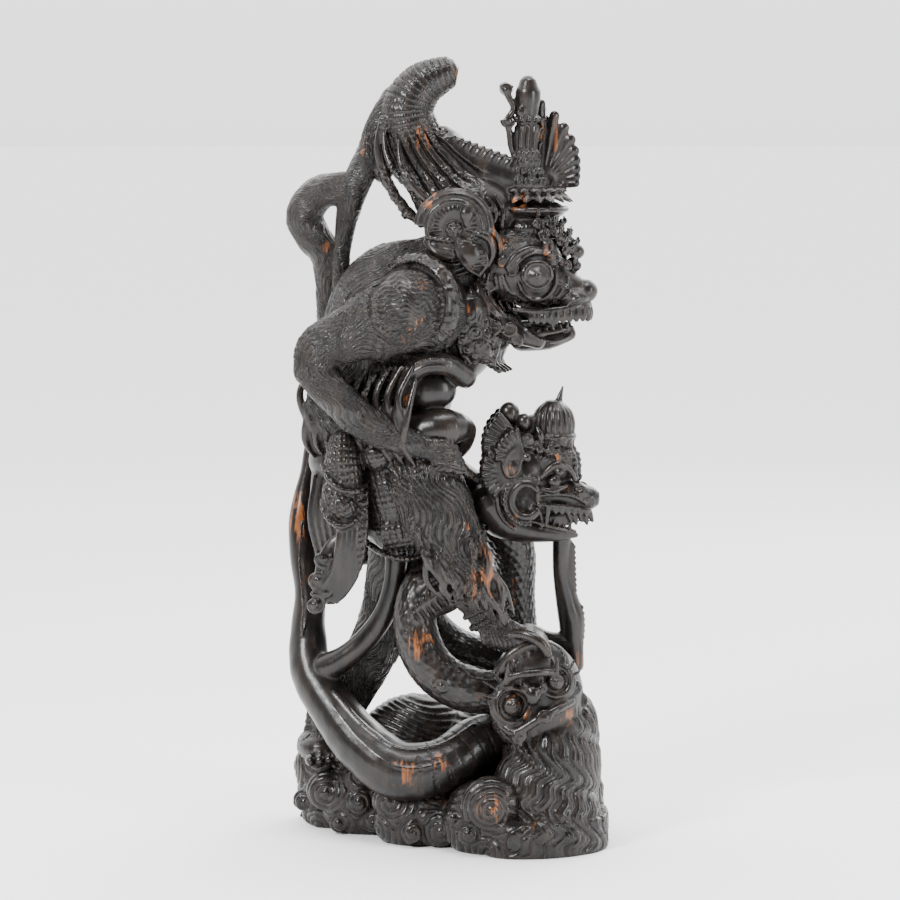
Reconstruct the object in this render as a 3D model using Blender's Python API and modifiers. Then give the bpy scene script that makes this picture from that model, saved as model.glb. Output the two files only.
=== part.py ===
"""Carving in dark hardwood: a crowned monkey warrior strides over a fallen demon's head and
grips a crested serpent whose coils wind round the warrior's legs and waist.

The whole group is cut from one block, so it is one solid. Every form is laid down as a mass
(a limb, a lump, a scroll or a petal), the masses are fused into one skin, the skin is thinned
to the facets that its curves need, and the foot is sawn flat.

Frame: +X is the way the warrior faces, +Z is up, and -Y is the side that is carved in full.
The origin is in the middle of the foot, on the surface that the carving stands on.
"""

import math

import bmesh
import bpy
from mathutils import Euler, Matrix, Vector

# Driving sizes, in metres
HEIGHT = 0.588
SKIN_GRAIN = 0.0021
SAW_DEPTH = 0.08

# Facets that the finished solid may have
FACETS = 9700

# The pose is laid out in millimetres of a carving 588 mm tall. MIDDLE is the middle of its outline
# and FOOT_LEVEL the height of its underside in that layout.
LAID_OUT_TALL = 588.0
MM = HEIGHT / LAID_OUT_TALL
FOOT_LEVEL = -5.0
MIDDLE = (-2.2, 1.65)

NAME = "hanuman_and_naga_carving"
EBONY_COLOUR = (0.028, 0.022, 0.019, 1.0)
EBONY_ROUGHNESS = 0.36


def clear_scene():
    for thing in list(bpy.data.objects):
        bpy.data.objects.remove(thing)


def collection(name):
    group = bpy.data.collections.new(name)
    bpy.context.scene.collection.children.link(group)
    return group


def unit_mesh(make, **sizes):
    """A mesh from one of bmesh's primitives."""
    form = bmesh.new()
    make(form, **sizes)
    mesh = bpy.data.meshes.new("unit")
    form.to_mesh(mesh)
    form.free()
    return mesh


def evaluated(curve):
    """The mesh that a curve's bevel or extrusion makes."""
    holder = bpy.data.objects.new(curve.name, curve)
    bpy.context.scene.collection.objects.link(holder)
    graph = bpy.context.evaluated_depsgraph_get()
    mesh = bpy.data.meshes.new_from_object(holder.evaluated_get(graph))
    bpy.data.objects.remove(holder)
    return mesh


class Block:
    """The masses laid down so far: limbs as splines of one curve, and lumps as one mesh."""

    def __init__(self):
        self.lumps = bmesh.new()
        self.ball = unit_mesh(bmesh.ops.create_uvsphere, u_segments=20, v_segments=12, radius=1.0)
        self.curve = bpy.data.curves.new("limbs", "CURVE")
        self.curve.dimensions = "3D"
        self.curve.bevel_depth = 1.0
        self.curve.bevel_resolution = 2
        self.curve.resolution_u = 6
        self.curve.use_fill_caps = True

    def add(self, shape, place):
        """A copy of a unit shape, put in its place among the lumps."""
        copy = shape.copy()
        copy.transform(place)
        self.lumps.from_mesh(copy)
        bpy.data.meshes.remove(copy)

    def lump(self, centre, radii, turn=(0, 0, 0)):
        """An ellipsoid; turn is in degrees about X, Y and Z."""
        place = (
            Matrix.Translation(Vector(centre) * MM)
            @ Euler([math.radians(a) for a in turn]).to_matrix().to_4x4()
            @ Matrix.Diagonal([*(Vector(radii) * MM), 1.0])
        )
        self.add(self.ball, place)

    def spike(self, foot, tip, radius, tip_radius=0.6):
        """A cone from foot to tip, for teeth, horns and leaf points."""
        start, end = Vector(foot) * MM, Vector(tip) * MM
        along = end - start
        cone = unit_mesh(
            bmesh.ops.create_cone,
            cap_ends=True,
            segments=10,
            radius1=radius * MM,
            radius2=tip_radius * MM,
            depth=along.length,
        )
        turn = along.to_track_quat("Z", "Y").to_matrix().to_4x4()
        self.add(cone, Matrix.Translation((start + end) / 2) @ turn)

    def limb(self, *stations):
        """A round limb through stations of x, y, z and radius, with rounded ends."""
        spline = self.curve.splines.new("BEZIER")
        spline.radius_interpolation = "CARDINAL"
        spline.bezier_points.add(len(stations) - 1)
        for point, (x, y, z, radius) in zip(spline.bezier_points, stations):
            point.co = Vector((x, y, z)) * MM
            point.radius = radius * MM
            point.handle_left_type = point.handle_right_type = "AUTO"
        for x, y, z, radius in (stations[0], stations[-1]):
            self.lump((x, y, z), (radius,) * 3)

    def slab(self, outline, top):
        """A flat foot up to a height, its edge a smooth curve through the outline's points."""
        thickness = top - FOOT_LEVEL
        curve = bpy.data.curves.new("foot", "CURVE")
        curve.dimensions = "2D"
        curve.fill_mode = "BOTH"
        curve.extrude = thickness * MM / 2
        spline = curve.splines.new("BEZIER")
        spline.use_cyclic_u = True
        spline.bezier_points.add(len(outline) - 1)
        for point, (x, y) in zip(spline.bezier_points, outline):
            point.co = Vector((x, y, 0)) * MM
            point.handle_left_type = point.handle_right_type = "AUTO"
        flat = evaluated(curve)
        flat.transform(Matrix.Translation((0, 0, (top + FOOT_LEVEL) * MM / 2)))
        self.lumps.from_mesh(flat)

    def scroll(self, centre, radius, thickness, turns, face=(0, -1, 0), start=0.0, rise=0.0):
        """A volute: a ridge that winds inwards on the plane whose normal is face."""
        normal = Vector(face).normalized()
        side = normal.cross(Vector((0, 0, 1))).normalized()
        up = side.cross(normal)
        steps = max(5, round(turns * 7))
        stations = []
        for i in range(steps + 1):
            share = i / steps
            angle = math.radians(start) + share * turns * 2 * math.pi
            reach = radius * (1 - 0.82 * share)
            spot = (
                Vector(centre)
                + side * reach * math.cos(angle)
                + up * reach * math.sin(angle)
                + normal * rise * share
            )
            stations.append((*spot, thickness * (1 - 0.35 * share)))
        self.limb(*stations)

    def fan(self, centre, radius, first, last, petals, thick, face=(0, -1, 0), inner=0.35):
        """A crest of petals that spread round centre, from angle first to last in degrees."""
        normal = Vector(face).normalized()
        side = normal.cross(Vector((0, 0, 1))).normalized()
        up = side.cross(normal)
        for i in range(petals):
            angle = math.radians(first + (last - first) * i / max(1, petals - 1))
            out = side * math.cos(angle) + up * math.sin(angle)
            spread = radius * math.radians(abs(last - first)) / petals * 0.62
            self.limb(
                (*(Vector(centre) + out * radius * inner), thick),
                (*(Vector(centre) + out * radius * 0.75), spread),
                (*(Vector(centre) + out * radius), spread * 0.55),
            )

    def row(self, start, end, count, radius):
        """Beads or teeth in a straight row."""
        for i in range(count):
            share = i / max(1, count - 1)
            self.lump(Vector(start).lerp(Vector(end), share), (radius,) * 3)

    def skin(self):
        """All the masses as one mesh of overlapping closed shells."""
        self.lumps.from_mesh(evaluated(self.curve))
        bmesh.ops.remove_doubles(self.lumps, verts=self.lumps.verts, dist=1e-7)
        mesh = bpy.data.meshes.new("masses")
        self.lumps.to_mesh(mesh)
        self.lumps.free()
        return mesh


def rock_base(block):
    """The rock that everything grows from, with cloud volutes cut round its front."""
    block.slab(
        [(-117, 66), (-86, 31), (-57, 8), (-15, -28), (14, -50), (35, -82), (74, -83), (110, -60), (115, 14),
         (106, 56), (64, 80), (-20, 88), (-98, 86)],
        22,
    )
    block.lump((-82, 48, 20), (34, 34, 46))
    block.lump((-62, 20, 16), (36, 28, 32))
    block.lump((-20, -18, 12), (38, 30, 28))
    block.lump((30, -46, 16), (36, 32, 32))
    block.lump((72, -42, 18), (40, 38, 40))
    block.lump((86, 6, 20), (32, 50, 50))
    block.lump((20, 40, 16), (88, 42, 44))
    block.lump((-26, 44, 50), (48, 30, 46))
    block.lump((34, 36, 50), (44, 34, 42))
    block.lump((-103, 54, 36), (18, 26, 34))
    block.scroll((-84, 20, 28), 17, 3.8, 1.6, (-0.6, -1, 0.1), 40, 3)
    block.scroll((-103, 40, 22), 11, 3.2, 1.4, (-0.7, -1, 0.1), 120, 3)
    block.scroll((-98, 36, 52), 11, 3.2, 1.4, (-0.6, -1, 0.2), 200, 2)
    block.scroll((-44, -12, 22), 14, 3.6, 1.5, (-0.7, -1, 0.1), 150, 3)
    block.scroll((-14, -45, 20), 16, 3.6, 1.5, (-0.6, -1, 0.1), 60, 3)
    block.scroll((28, -80, 30), 22, 4.2, 1.8, (-0.25, -1, 0.15), 20, 4)
    block.scroll((64, -83, 15), 11, 3.2, 1.4, (0.1, -1, 0.1), 200, 3)
    block.scroll((8, -68, 8), 8, 3.0, 1.2, (-0.6, -1, 0.1), 0, 2)
    for x, z, size in ((-76, 28, 17), (-26, 32, 20), (30, 28, 17), (74, 34, 18)):
        block.scroll((x, 86, z), size, 3.8, 1.5, (0, 1, 0), 90, 3)


def demon_head(block):
    """The fallen demon, head thrown back: mouth on top, eyes below, hair down to the ground."""
    block.lump((64, -30, 106), (36, 36, 46))
    block.lump((76, -24, 54), (36, 42, 56))
    block.lump((66, -44, 30), (34, 32, 46))
    block.lump((84, 8, 71), (26, 30, 38))
    block.lump((100, -18, 82), (10, 22, 20))
    block.lump((60, -52, 134), (25, 15, 16), (0, -18, 0))
    block.limb((35, -58, 126, 4), (44, -58, 142, 4.5), (62, -56, 151, 4.5), (82, -50, 143, 4), (88, -44, 128, 3))
    for x, y, z, lid in ((46, -64, 106, 13), (78, -60, 123, 11.5)):
        block.lump((x, y, z), (lid * 0.62,) * 3)
        block.scroll((x, y, z), lid, 2.6, 1.0, (0, -1, 0.1), 0)
    block.lump((61, -66, 114), (7, 6, 9))
    block.limb((36, -62, 92, 4), (48, -68, 88, 5), (62, -68, 96, 5), (78, -64, 104, 5), (90, -52, 108, 4))
    for i in range(9):
        lean = -1 + i / 4
        top = (64 + 29 * lean, -64 + 18 * lean * lean, 92 - 6 * abs(lean))
        sway = 6 if i % 2 else -5
        block.limb(
            (*top, 3.5),
            (top[0] + sway, top[1] - 4, top[2] * 0.68, 5.5),
            (top[0] + 8 - sway, top[1] - 8 + 4 * lean, top[2] * 0.36, 5.5),
            (top[0] + 12 + 3 * lean, top[1] - 5, 5, 5),
        )
    for i in range(5):
        block.limb(
            (95, -30 + 18 * i, 98 - 6 * i, 4),
            (109, -26 + 17 * i, 68 - 5 * i, 6.5),
            (110, -22 + 17 * i, 34, 6.5),
            (110, -18 + 14 * i, 4, 5.5),
        )


def serpent_body(block):
    """The serpent: up the back edge as a slim tail, round the ground, and up into the coils."""
    block.limb(
        (-96, 52, 322, 7),
        (-103, 50, 296, 6),
        (-109, 46, 266, 6),
        (-114, 40, 228, 9.5),
        (-112, 36, 205, 10.5),
        (-107, 30, 176, 11.5),
        (-108, 24, 147, 13.5),
        (-106, 14, 122, 16),
        (-87, -4, 91, 18),
        (-64, -20, 66, 21),
        (-36, -32, 50, 22),
        (-8, -30, 53, 21),
        (20, -15, 68, 20),
        (48, 4, 76, 17),
    )
    block.limb(
        (-97, 6, 124, 11),
        (-80, -2, 131, 9.5),
        (-64, -5, 145, 8.5),
        (-48, -8, 168, 8),
        (-42, -9, 190, 8),
        (-40, -8, 214, 9),
    )
    block.limb(
        (-10, -12, 204, 13),
        (-24, -25, 182, 15),
        (-25, -32, 154, 16.5),
        (-12, -36, 128, 17),
        (9, -36, 114, 17),
        (34, -30, 110, 16),
        (60, -5, 116, 15),
        (60, 22, 124, 13),
        (34, 30, 127, 13),
        (6, 28, 137, 12),
        (-14, 16, 158, 11),
        (-20, 0, 184, 12),
    )
    block.limb(
        (-42, -30, 306, 13),
        (-20, -46, 307, 15),
        (0, -47, 310, 14),
        (10, -39, 309, 9),
        (6, -20, 297, 11),
        (-20, 5, 286, 17),
    )
    block.limb(
        (-40, -44, 318, 7),
        (-36, -50, 342, 8),
        (-21, -54, 356, 8),
        (-3, -52, 357, 8),
        (11, -40, 347, 9),
    )
    block.lump((-15, -38, 337), (20, 14, 17))
    block.limb((-8, 10, 280, 12), (12, 6, 264, 12), (32, -2, 252, 13))
    block.limb((38, -6, 256, 19), (38, 2, 234, 17), (47, 12, 212, 17), (50, 20, 175, 14.5), (52, 25, 130, 16))
    block.limb((85, 2, 218, 7), (87, 6, 188, 7), (90, 10, 163, 8), (91, 10, 144, 8.5), (90, 8, 128, 7))
    block.limb((62, 10, 142, 8), (88, 10, 143, 7))
    block.lump((-8, -34, 184), (28, 10, 18), (0, -24, 0))
    block.spike((-26, -38, 172), (16, -38, 205), 7, 1.5)
    for i in range(6):
        block.spike((-20 + 6 * i, -40, 177 + 4 * i), (-18 + 6 * i, -46, 190 + 4 * i), 3, 1)


def serpent_head(block):
    """The serpent's crowned head, jaws open towards +X."""
    block.lump((53, -14, 268), (27, 25, 28))
    block.limb((58, -16, 262, 19), (80, -18, 257, 14), (100, -19, 252, 11), (106, -20, 247, 9))
    block.lump((103, -20, 252), (9, 10, 8))
    block.lump((91, -18, 237), (10, 8, 6))
    block.limb((42, -14, 240, 14), (60, -16, 226, 11), (79, -18, 222, 9), (92, -19, 226, 4))
    block.lump((66, -14, 232), (24, 10, 9))
    block.lump((84, -10, 236), (14, 6, 5))
    block.scroll((55, -37, 250), 14, 3.2, 1.2, (0, -1, 0), 0)
    for eye in (-34, 2):
        block.lump((80, eye, 274), (6, 5, 6))
        block.limb((68, eye, 274, 3), (76, eye * 1.1, 283, 3.5), (88, eye, 278, 3))
    for side in (-32, -5):
        block.row((72, side, 246), (98, side * 0.85, 244), 5, 2.8)
        block.spike((71, side, 248), (69, side, 231), 3.4, 0.8)
    block.row((93, -27, 240), (101, -12, 240), 3, 3)
    block.fan((43, -18, 271), 25, 55, 190, 7, 4, (0.15, -1, 0), 0.45)
    block.fan((43, 0, 271), 23, 355, 480, 6, 4, (0.15, 1, 0), 0.45)
    block.lump((46, -18, 312), (8, 8, 11))
    block.lump((63, -18, 312), (12, 9, 10))
    block.scroll((58, -34, 296), 8, 2.6, 1.2, (0, -1, 0), 90)
    block.scroll((68, -34, 289), 7, 2.6, 1.2, (0, -1, 0), 250)
    block.scroll((42, -36, 262), 8, 2.6, 1.2, (0, -1, 0), 150)
    block.lump((79, -12, 300), (15, 15, 20))
    block.lump((86, -16, 284), (8, 12, 17))
    block.spike((81, -12, 314), (86, -12, 338), 4.5, 0.8)
    block.limb((29, -22, 262, 4), (25, -24, 244, 4), (24, -22, 222, 3))


def far_leg(block):
    """The leg that is planted behind on the rock, with its hair fringe."""
    block.limb((-32, 16, 250, 26), (-38, 20, 205, 24), (-48, 26, 158, 21), (-66, 34, 118, 19), (-90, 42, 76, 17))
    block.lump((-98, 42, 56), (20, 26, 14))
    for i in range(5):
        block.spike((-94, 46, 92 - 12 * i), (-117 - 1.5 * (i % 2), 48, 76 - 13 * i), 7, 1.5)


def near_leg(block):
    """The striding leg, its long hair swept back, and the foot on the demon's mouth."""
    block.limb(
        (-28, -20, 286, 32),
        (-18, -32, 262, 30),
        (-4, -38, 235, 26),
        (9, -42, 207, 19),
        (23, -43, 178, 14.5),
        (34, -44, 160, 12.5),
    )
    block.limb((34, -44, 158, 13), (50, -50, 152, 11), (64, -52, 148, 8))
    for i in range(4):
        block.limb((42, -50 + 6 * i, 154, 4.5), (61, -58 + 8 * i, 153, 4.5), (70, -60 + 9 * i, 145, 3.5))
    for i in range(8):
        shift = i * 6
        block.limb(
            (-36 + shift, -53 - i % 2 * 3, 264 - shift * 0.4, 4),
            (-28 + shift, -60 - i % 2 * 3, 234 - shift * 0.55, 5),
            (-20 + shift, -57, 207 - shift * 0.7, 4.5),
            (-10 + shift * 0.9, -50, 188 - shift * 0.5, 2.5),
        )
    block.lump((18, -48, 222), (10, 12, 13))


def hips_and_sash(block):
    """The wrapped hip cloth, the knotted checked sash and its hanging end."""
    block.lump((-42, 2, 266), (46, 42, 38))
    block.lump((-38, -8, 244), (34, 36, 30))
    block.lump((-82, -2, 281), (24, 30, 20))
    block.limb((-90, -8, 278, 13), (-94, -10, 245, 11), (-89, -14, 208, 9))
    block.limb((-22, -44, 296, 10), (-24, -50, 276, 10))
    block.limb((-70, -42, 294, 12), (-68, -48, 270, 15), (-70, -47, 250, 14))
    block.limb((-70, -45, 248, 14), (-69, -46, 215, 13), (-79, -45, 190, 10), (-86, -43, 176, 7))
    block.lump((-82, -42, 208), (18, 7, 32), (0, 14, 0))
    for i, (x, z) in enumerate(((-90, 224), (-95, 203), (-98, 181))):
        block.scroll((x, -48, z), 8, 2.8, 1.2, (0, -1, 0), 90 + 40 * i)
    for i in range(4):
        x = -70 + 4.5 * i
        block.limb((x, -59, 240, 2.5), (x - 1, -60, 212, 3), (x - 10, -56, 188, 2.5), (x - 19, -50, 175, 2))
    for i in range(4):
        block.limb((-48 + 9 * i, -46, 250, 3), (-48 + 9 * i, -44, 224, 3), (-46 + 8 * i, -36, 216, 3))
    block.limb((-60, 38, 292, 12), (-64, 44, 250, 13), (-66, 44, 205, 10))


def torso(block):
    """The hunched back and chest, with the hair of the flank."""
    block.limb((-48, 0, 286, 38), (-60, 0, 320, 42), (-54, 0, 360, 46), (-34, 0, 398, 49), (-6, 0, 416, 36))
    block.lump((0, -2, 374), (35, 34, 37))
    block.lump((-34, 0, 330), (36, 38, 34))
    for i in range(7):
        x = -106 + 10 * i
        y = -14 - 6 * i
        block.limb((x + 8, y - 6, 352, 4), (x, y - 8, 326, 5.5), (x + 3, y - 6, 302, 4.5), (x + 8, y - 2, 288, 2.5))
    for i in range(5):
        block.limb((-70 + 14 * i, 34 + 2 * i, 408, 3), (-72 + 13 * i, 46, 380, 4.5), (-66 + 10 * i, 44, 350, 3))


def near_arm(block):
    """Shoulder, beaded armlets, bent elbow, and the forearm laid across the waist."""
    block.limb((-16, -34, 396, 32), (-46, -50, 389, 27), (-76, -57, 378, 20), (-96, -60, 368, 17), (-99, -60, 355, 16))
    block.limb((-99, -60, 355, 16), (-82, -63, 333, 13.5), (-60, -62, 314, 13), (-36, -58, 302, 11), (-12, -58, 296, 9))
    armlet(block, (-14, -38, 394), (-0.93, -0.42, -0.12), 36, 4.5, 18)
    armlet(block, (-58, -53, 385), (-0.9, -0.35, -0.3), 25, 3.5, 0)


def armlet(block, centre, along, radius, thick, beads):
    """A ring round a limb, and the beads set on it."""
    axis = Vector(along).normalized()
    side = axis.cross(Vector((0, 0, 1))).normalized()
    up = axis.cross(side)

    def rim(share):
        angle = share * 2 * math.pi
        return Vector(centre) + (side * math.cos(angle) + up * math.sin(angle)) * radius

    steps = 12
    block.limb(*[(*rim(i / steps), thick) for i in range(steps + 1)])
    for i in range(beads):
        block.lump(rim(i / beads) - axis * thick * 1.6, (thick * 0.8,) * 3)


def far_arm(block):
    """The arm behind the head that reaches down to the serpent's crest."""
    block.limb((-6, 32, 396, 28), (22, 42, 378, 19), (42, 42, 354, 18), (44, 32, 330, 15.5), (44, 16, 306, 15))
    block.lump((46, 6, 300), (14, 16, 10))


def tail(block):
    """The warrior's tail: out from the back, bent to the crown, and up along it."""
    block.limb(
        (-94, 44, 332, 11),
        (-89, 32, 388, 12),
        (-92, 26, 430, 12.5),
        (-109, 22, 465, 14),
        (-98, 17, 480, 13.5),
        (-76, 12, 484, 12),
    )
    block.limb(
        (-82, 10, 400, 6.5), (-80, 10, 446, 7), (-73, 10, 478, 10), (-60, 8, 509, 11), (-53, 6, 532, 9),
        (-43, 4, 553, 7),
    )


def warrior_head(block):
    """The monkey head: round eyes, blunt nose, bared teeth, curled ruff, ear and ear fan."""
    face = Matrix.Translation((60, -8, 424)) @ Matrix.Rotation(math.radians(-12), 4, "Z")

    def at(x, y, z):
        return tuple(face @ Vector((x, y, z)))

    block.lump(at(-14, 0, 6), (38, 35, 32))
    block.limb((*at(0, 0, -2), 26), (*at(20, 0, -10), 20), (*at(36, 0, -15), 13))
    block.lump(at(33, 0, -17), (15, 20, 11))
    block.lump(at(34, 0, -15), (10, 12, 9))
    for side in (-1, 1):
        block.lump(at(7, 27 * side, -5), (9, 8, 9))
        block.scroll(at(7, 27 * side, -5), 14, 2.6, 1.0, (0.3, side, 0), 0)
        block.scroll(at(-14, 30 * side, 2), 8, 2.6, 1.2, (0, side, 0), 0)
        block.row(at(-4, 22 * side, -30), at(36, 17 * side, -28), 7, 4)
        block.limb(
            (*at(-38, 26 * side, -16), 9),
            (*at(-16, 22 * side, -42), 9),
            (*at(10, 14 * side, -51), 9),
            (*at(26, 6 * side, -47), 7),
        )
        block.limb(
            (*at(-44, 30 * side, 2), 7),
            (*at(-48, 32 * side, -20), 8),
            (*at(-40, 30 * side, -40), 7),
            (*at(-32, 26 * side, -60), 6),
        )
        block.limb((*at(-36, 34 * side, -2), 3), (*at(-44, 36 * side, 16), 9), (*at(-50, 38 * side, 34), 2.5))
        block.fan(at(-50, 36 * side, 28), 24, 20, 200, 7, 4, (0, side, 0), 0.4)
        block.scroll(at(-40, 40 * side, 22), 10, 2.6, 1.3, (0, side, 0), 60)
        block.scroll(at(-24, 36 * side, 30), 10, 3, 1.3, (0, side, 0), 0)
        for i in range(5):
            block.lump(at(27 - 6 * i, (13 + 4 * i) * side, 18 + 4 * (i % 2)), (6, 6, 7))
    block.row(at(43, -13, -30), at(43, 13, -30), 5, 4.2)
    block.lump(at(14, 0, -32), (26, 14, 10))
    block.limb((*at(6, 0, -47), 14), (*at(26, 0, -45), 10), (*at(32, 0, -42), 7))
    block.lump(at(-40, 0, -44), (20, 26, 26))
    block.lump(at(-22, -18, -62), (9, 9, 15), (0, 20, 0))
    block.lump(at(-22, 18, -62), (9, 9, 15), (0, 20, 0))
    block.lump(at(30, 0, 15), (7, 8, 8))
    block.lump(at(28, 0, 2), (6, 10, 5))
    armlet(block, at(-52, 0, 2), (0.5, 0, -0.9), 34, 4.5, 0)
    block.lump(at(-44, 0, 16), (30, 36, 22))


def crown(block):
    """The tall back curl with its open ribs, the petalled brim, the finial and the front leaf."""
    block.limb(
        (11, 0, 466, 37), (-13, 0, 494, 34), (-28, 0, 522, 26), (-32, 0, 547, 21), (-18, 0, 563, 17),
        (-1, 0, 570, 12.5),
    )
    block.lump((19, 0, 475), (40, 34, 25), (0, 24, 0))
    block.lump((-52, 4, 502), (10, 9, 14))
    block.limb((-20, 0, 456, 14), (-34, 0, 484, 10), (-39, 0, 520, 11))
    for i in range(6):
        for side in (-1, 1):
            block.limb(
                (-26 + 14 * i, 24 * side, 452 + 5 * i, 3.2),
                (-36 + 12.5 * i, 34 * side, 480 + 3 * i, 3.6),
                (-40 + 8 * i, 29 * side, 508, 3.4),
                (-41 + 5 * i, 20 * side, 530, 3),
            )
    block.lump((60, 0, 468), (27, 29, 12))
    block.lump((58, 0, 456), (26, 27, 14))
    petals = 14
    for i in range(petals):
        angle = i * 2 * math.pi / petals
        block.lump((60 + 25 * math.cos(angle), 27 * math.sin(angle), 474), (7, 7, 5))
    block.lump((56, 0, 482), (19, 20, 10))
    block.limb(
        (57, 0, 480, 14), (55, 0, 497, 9.5), (55, 0, 516, 7.5), (56, 0, 531, 8), (57, 0, 548, 10.5), (58, 0, 560, 7)
    )
    block.limb((50, 0, 502, 5), (49, 0, 516, 5), (50, 0, 530, 4.5), (45, 0, 545, 5), (46, 0, 560, 4.5))
    block.fan((67, 16, 482), 44, 0, 112, 9, 5, (0.1, -1, 0), 0.2)
    block.lump((80, 16, 500), (15, 5, 24), (0, 24, 0))
    block.spike((72, 16, 520), (73, 16, 548), 7, 1)


def flat_foot(carving, cutters):
    """Saws the underside flat at the height that the carving stands on."""
    bpy.ops.mesh.primitive_cube_add(size=1.0)
    saw = bpy.context.object
    saw.name = "foot_saw"
    saw.data.transform(Matrix.Diagonal((HEIGHT, HEIGHT, SAW_DEPTH, 1)))
    saw.data.transform(Matrix.Translation((0, 0, -SAW_DEPTH / 2)))
    for group in list(saw.users_collection):
        group.objects.unlink(saw)
    cutters.objects.link(saw)
    saw.display_type = "WIRE"
    saw.hide_render = True
    cut = carving.modifiers.new("flat_foot", "BOOLEAN")
    cut.operation = "DIFFERENCE"
    cut.object = saw


def ebony():
    wood = bpy.data.materials.new("dark_ebony")
    wood.use_nodes = True
    shader = wood.node_tree.nodes["Principled BSDF"]
    shader.inputs["Base Color"].default_value = EBONY_COLOUR
    shader.inputs["Roughness"].default_value = EBONY_ROUGHNESS
    shader.inputs["Metallic"].default_value = 0.0
    return wood


def fused(mesh):
    """One closed skin over all the masses."""
    rough = bpy.data.objects.new("rough", mesh)
    bpy.context.scene.collection.objects.link(rough)
    skin = rough.modifiers.new("skin", "REMESH")
    skin.mode = "VOXEL"
    skin.voxel_size = SKIN_GRAIN
    ease = rough.modifiers.new("ease", "SMOOTH")
    ease.factor = 0.5
    ease.iterations = 1
    graph = bpy.context.evaluated_depsgraph_get()
    whole = bpy.data.meshes.new_from_object(rough.evaluated_get(graph))
    whole.transform(Matrix.Translation(-Vector((*MIDDLE, FOOT_LEVEL)) * MM))
    bpy.data.objects.remove(rough)
    form = bmesh.new()
    form.from_mesh(whole)
    keep_largest(form)
    form.to_mesh(whole)
    form.free()
    return whole


def keep_largest(form):
    """Drops any crumb that touches nothing, so that the skin is one piece."""
    left = set(form.verts)
    pieces = []
    while left:
        seed = left.pop()
        piece, edge = {seed}, [seed]
        while edge:
            vert = edge.pop()
            for link in vert.link_edges:
                other = link.other_vert(vert)
                if other in left:
                    left.remove(other)
                    piece.add(other)
                    edge.append(other)
        pieces.append(piece)
    pieces.sort(key=len)
    for piece in pieces[:-1]:
        bmesh.ops.delete(form, geom=list(piece), context="VERTS")


def build():
    clear_scene()
    parts = collection(NAME)
    cutters = collection("cutters")
    block = Block()
    for carve in (
        rock_base,
        demon_head,
        serpent_body,
        serpent_head,
        far_leg,
        near_leg,
        hips_and_sash,
        torso,
        near_arm,
        far_arm,
        tail,
        warrior_head,
        crown,
    ):
        carve(block)
    mesh = fused(block.skin())
    carving = bpy.data.objects.new(NAME, mesh)
    parts.objects.link(carving)
    triangles = sum(len(face.vertices) - 2 for face in mesh.polygons)
    thin = carving.modifiers.new("facets", "DECIMATE")
    thin.ratio = FACETS / triangles
    flat_foot(carving, cutters)
    mesh.materials.append(ebony())
    return carving


build()
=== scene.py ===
"""A hardwood carving: a crowned monkey warrior over a demon's head, gripping a crested serpent.

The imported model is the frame. Each section below carves one part of the group again, finer than
the solid and in the same place, in the order in which a carver would work up from the rock.
"""

import math

import bmesh
import bpy
import numpy as np
from mathutils import Euler, Matrix, Vector
from mathutils.bvhtree import BVHTree


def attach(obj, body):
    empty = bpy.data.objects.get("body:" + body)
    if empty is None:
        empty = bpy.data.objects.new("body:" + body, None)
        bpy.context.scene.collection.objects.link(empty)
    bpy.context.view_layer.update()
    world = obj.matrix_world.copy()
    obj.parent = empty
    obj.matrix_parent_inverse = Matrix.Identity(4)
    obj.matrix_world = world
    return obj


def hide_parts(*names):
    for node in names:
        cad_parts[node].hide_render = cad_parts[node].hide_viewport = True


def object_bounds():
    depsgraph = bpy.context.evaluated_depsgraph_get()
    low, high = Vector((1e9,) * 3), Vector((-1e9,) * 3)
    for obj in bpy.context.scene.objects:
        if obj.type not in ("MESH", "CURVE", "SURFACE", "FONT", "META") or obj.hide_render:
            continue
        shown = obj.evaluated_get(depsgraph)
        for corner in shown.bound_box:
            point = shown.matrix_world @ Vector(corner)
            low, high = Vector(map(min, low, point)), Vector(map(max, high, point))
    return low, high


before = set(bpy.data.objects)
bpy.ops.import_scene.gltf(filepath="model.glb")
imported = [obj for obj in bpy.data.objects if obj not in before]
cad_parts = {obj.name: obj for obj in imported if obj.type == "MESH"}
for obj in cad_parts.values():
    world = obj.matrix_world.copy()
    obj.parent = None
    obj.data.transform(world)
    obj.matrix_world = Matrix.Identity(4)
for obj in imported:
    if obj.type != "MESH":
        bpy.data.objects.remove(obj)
cad_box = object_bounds()
NODE = "hanuman_and_naga_carving"

# The rock
# The sawn foot of the log, left round the figures and cut all over with cloud volutes.
# Its underside is sawn flat, and pale sapwood shows at the middle of the largest volute.

# The layout is in millimetres: its middle and the height of its underside become the origin
MM = 0.001
MIDDLE = (-2.2, 1.65)
FOOT_LEVEL = -5.0
GRAIN = 1.0
FINE_GRAIN = 0.8

# The share of its faces that the thinning leaves a skin, and the most faces that one may have
KEPT_SHARE = 0.42
MOST_FACES = 190000

# The relief fades out over this height above the sawn underside, in millimetres
FOOT_FADE = 2.0


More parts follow.
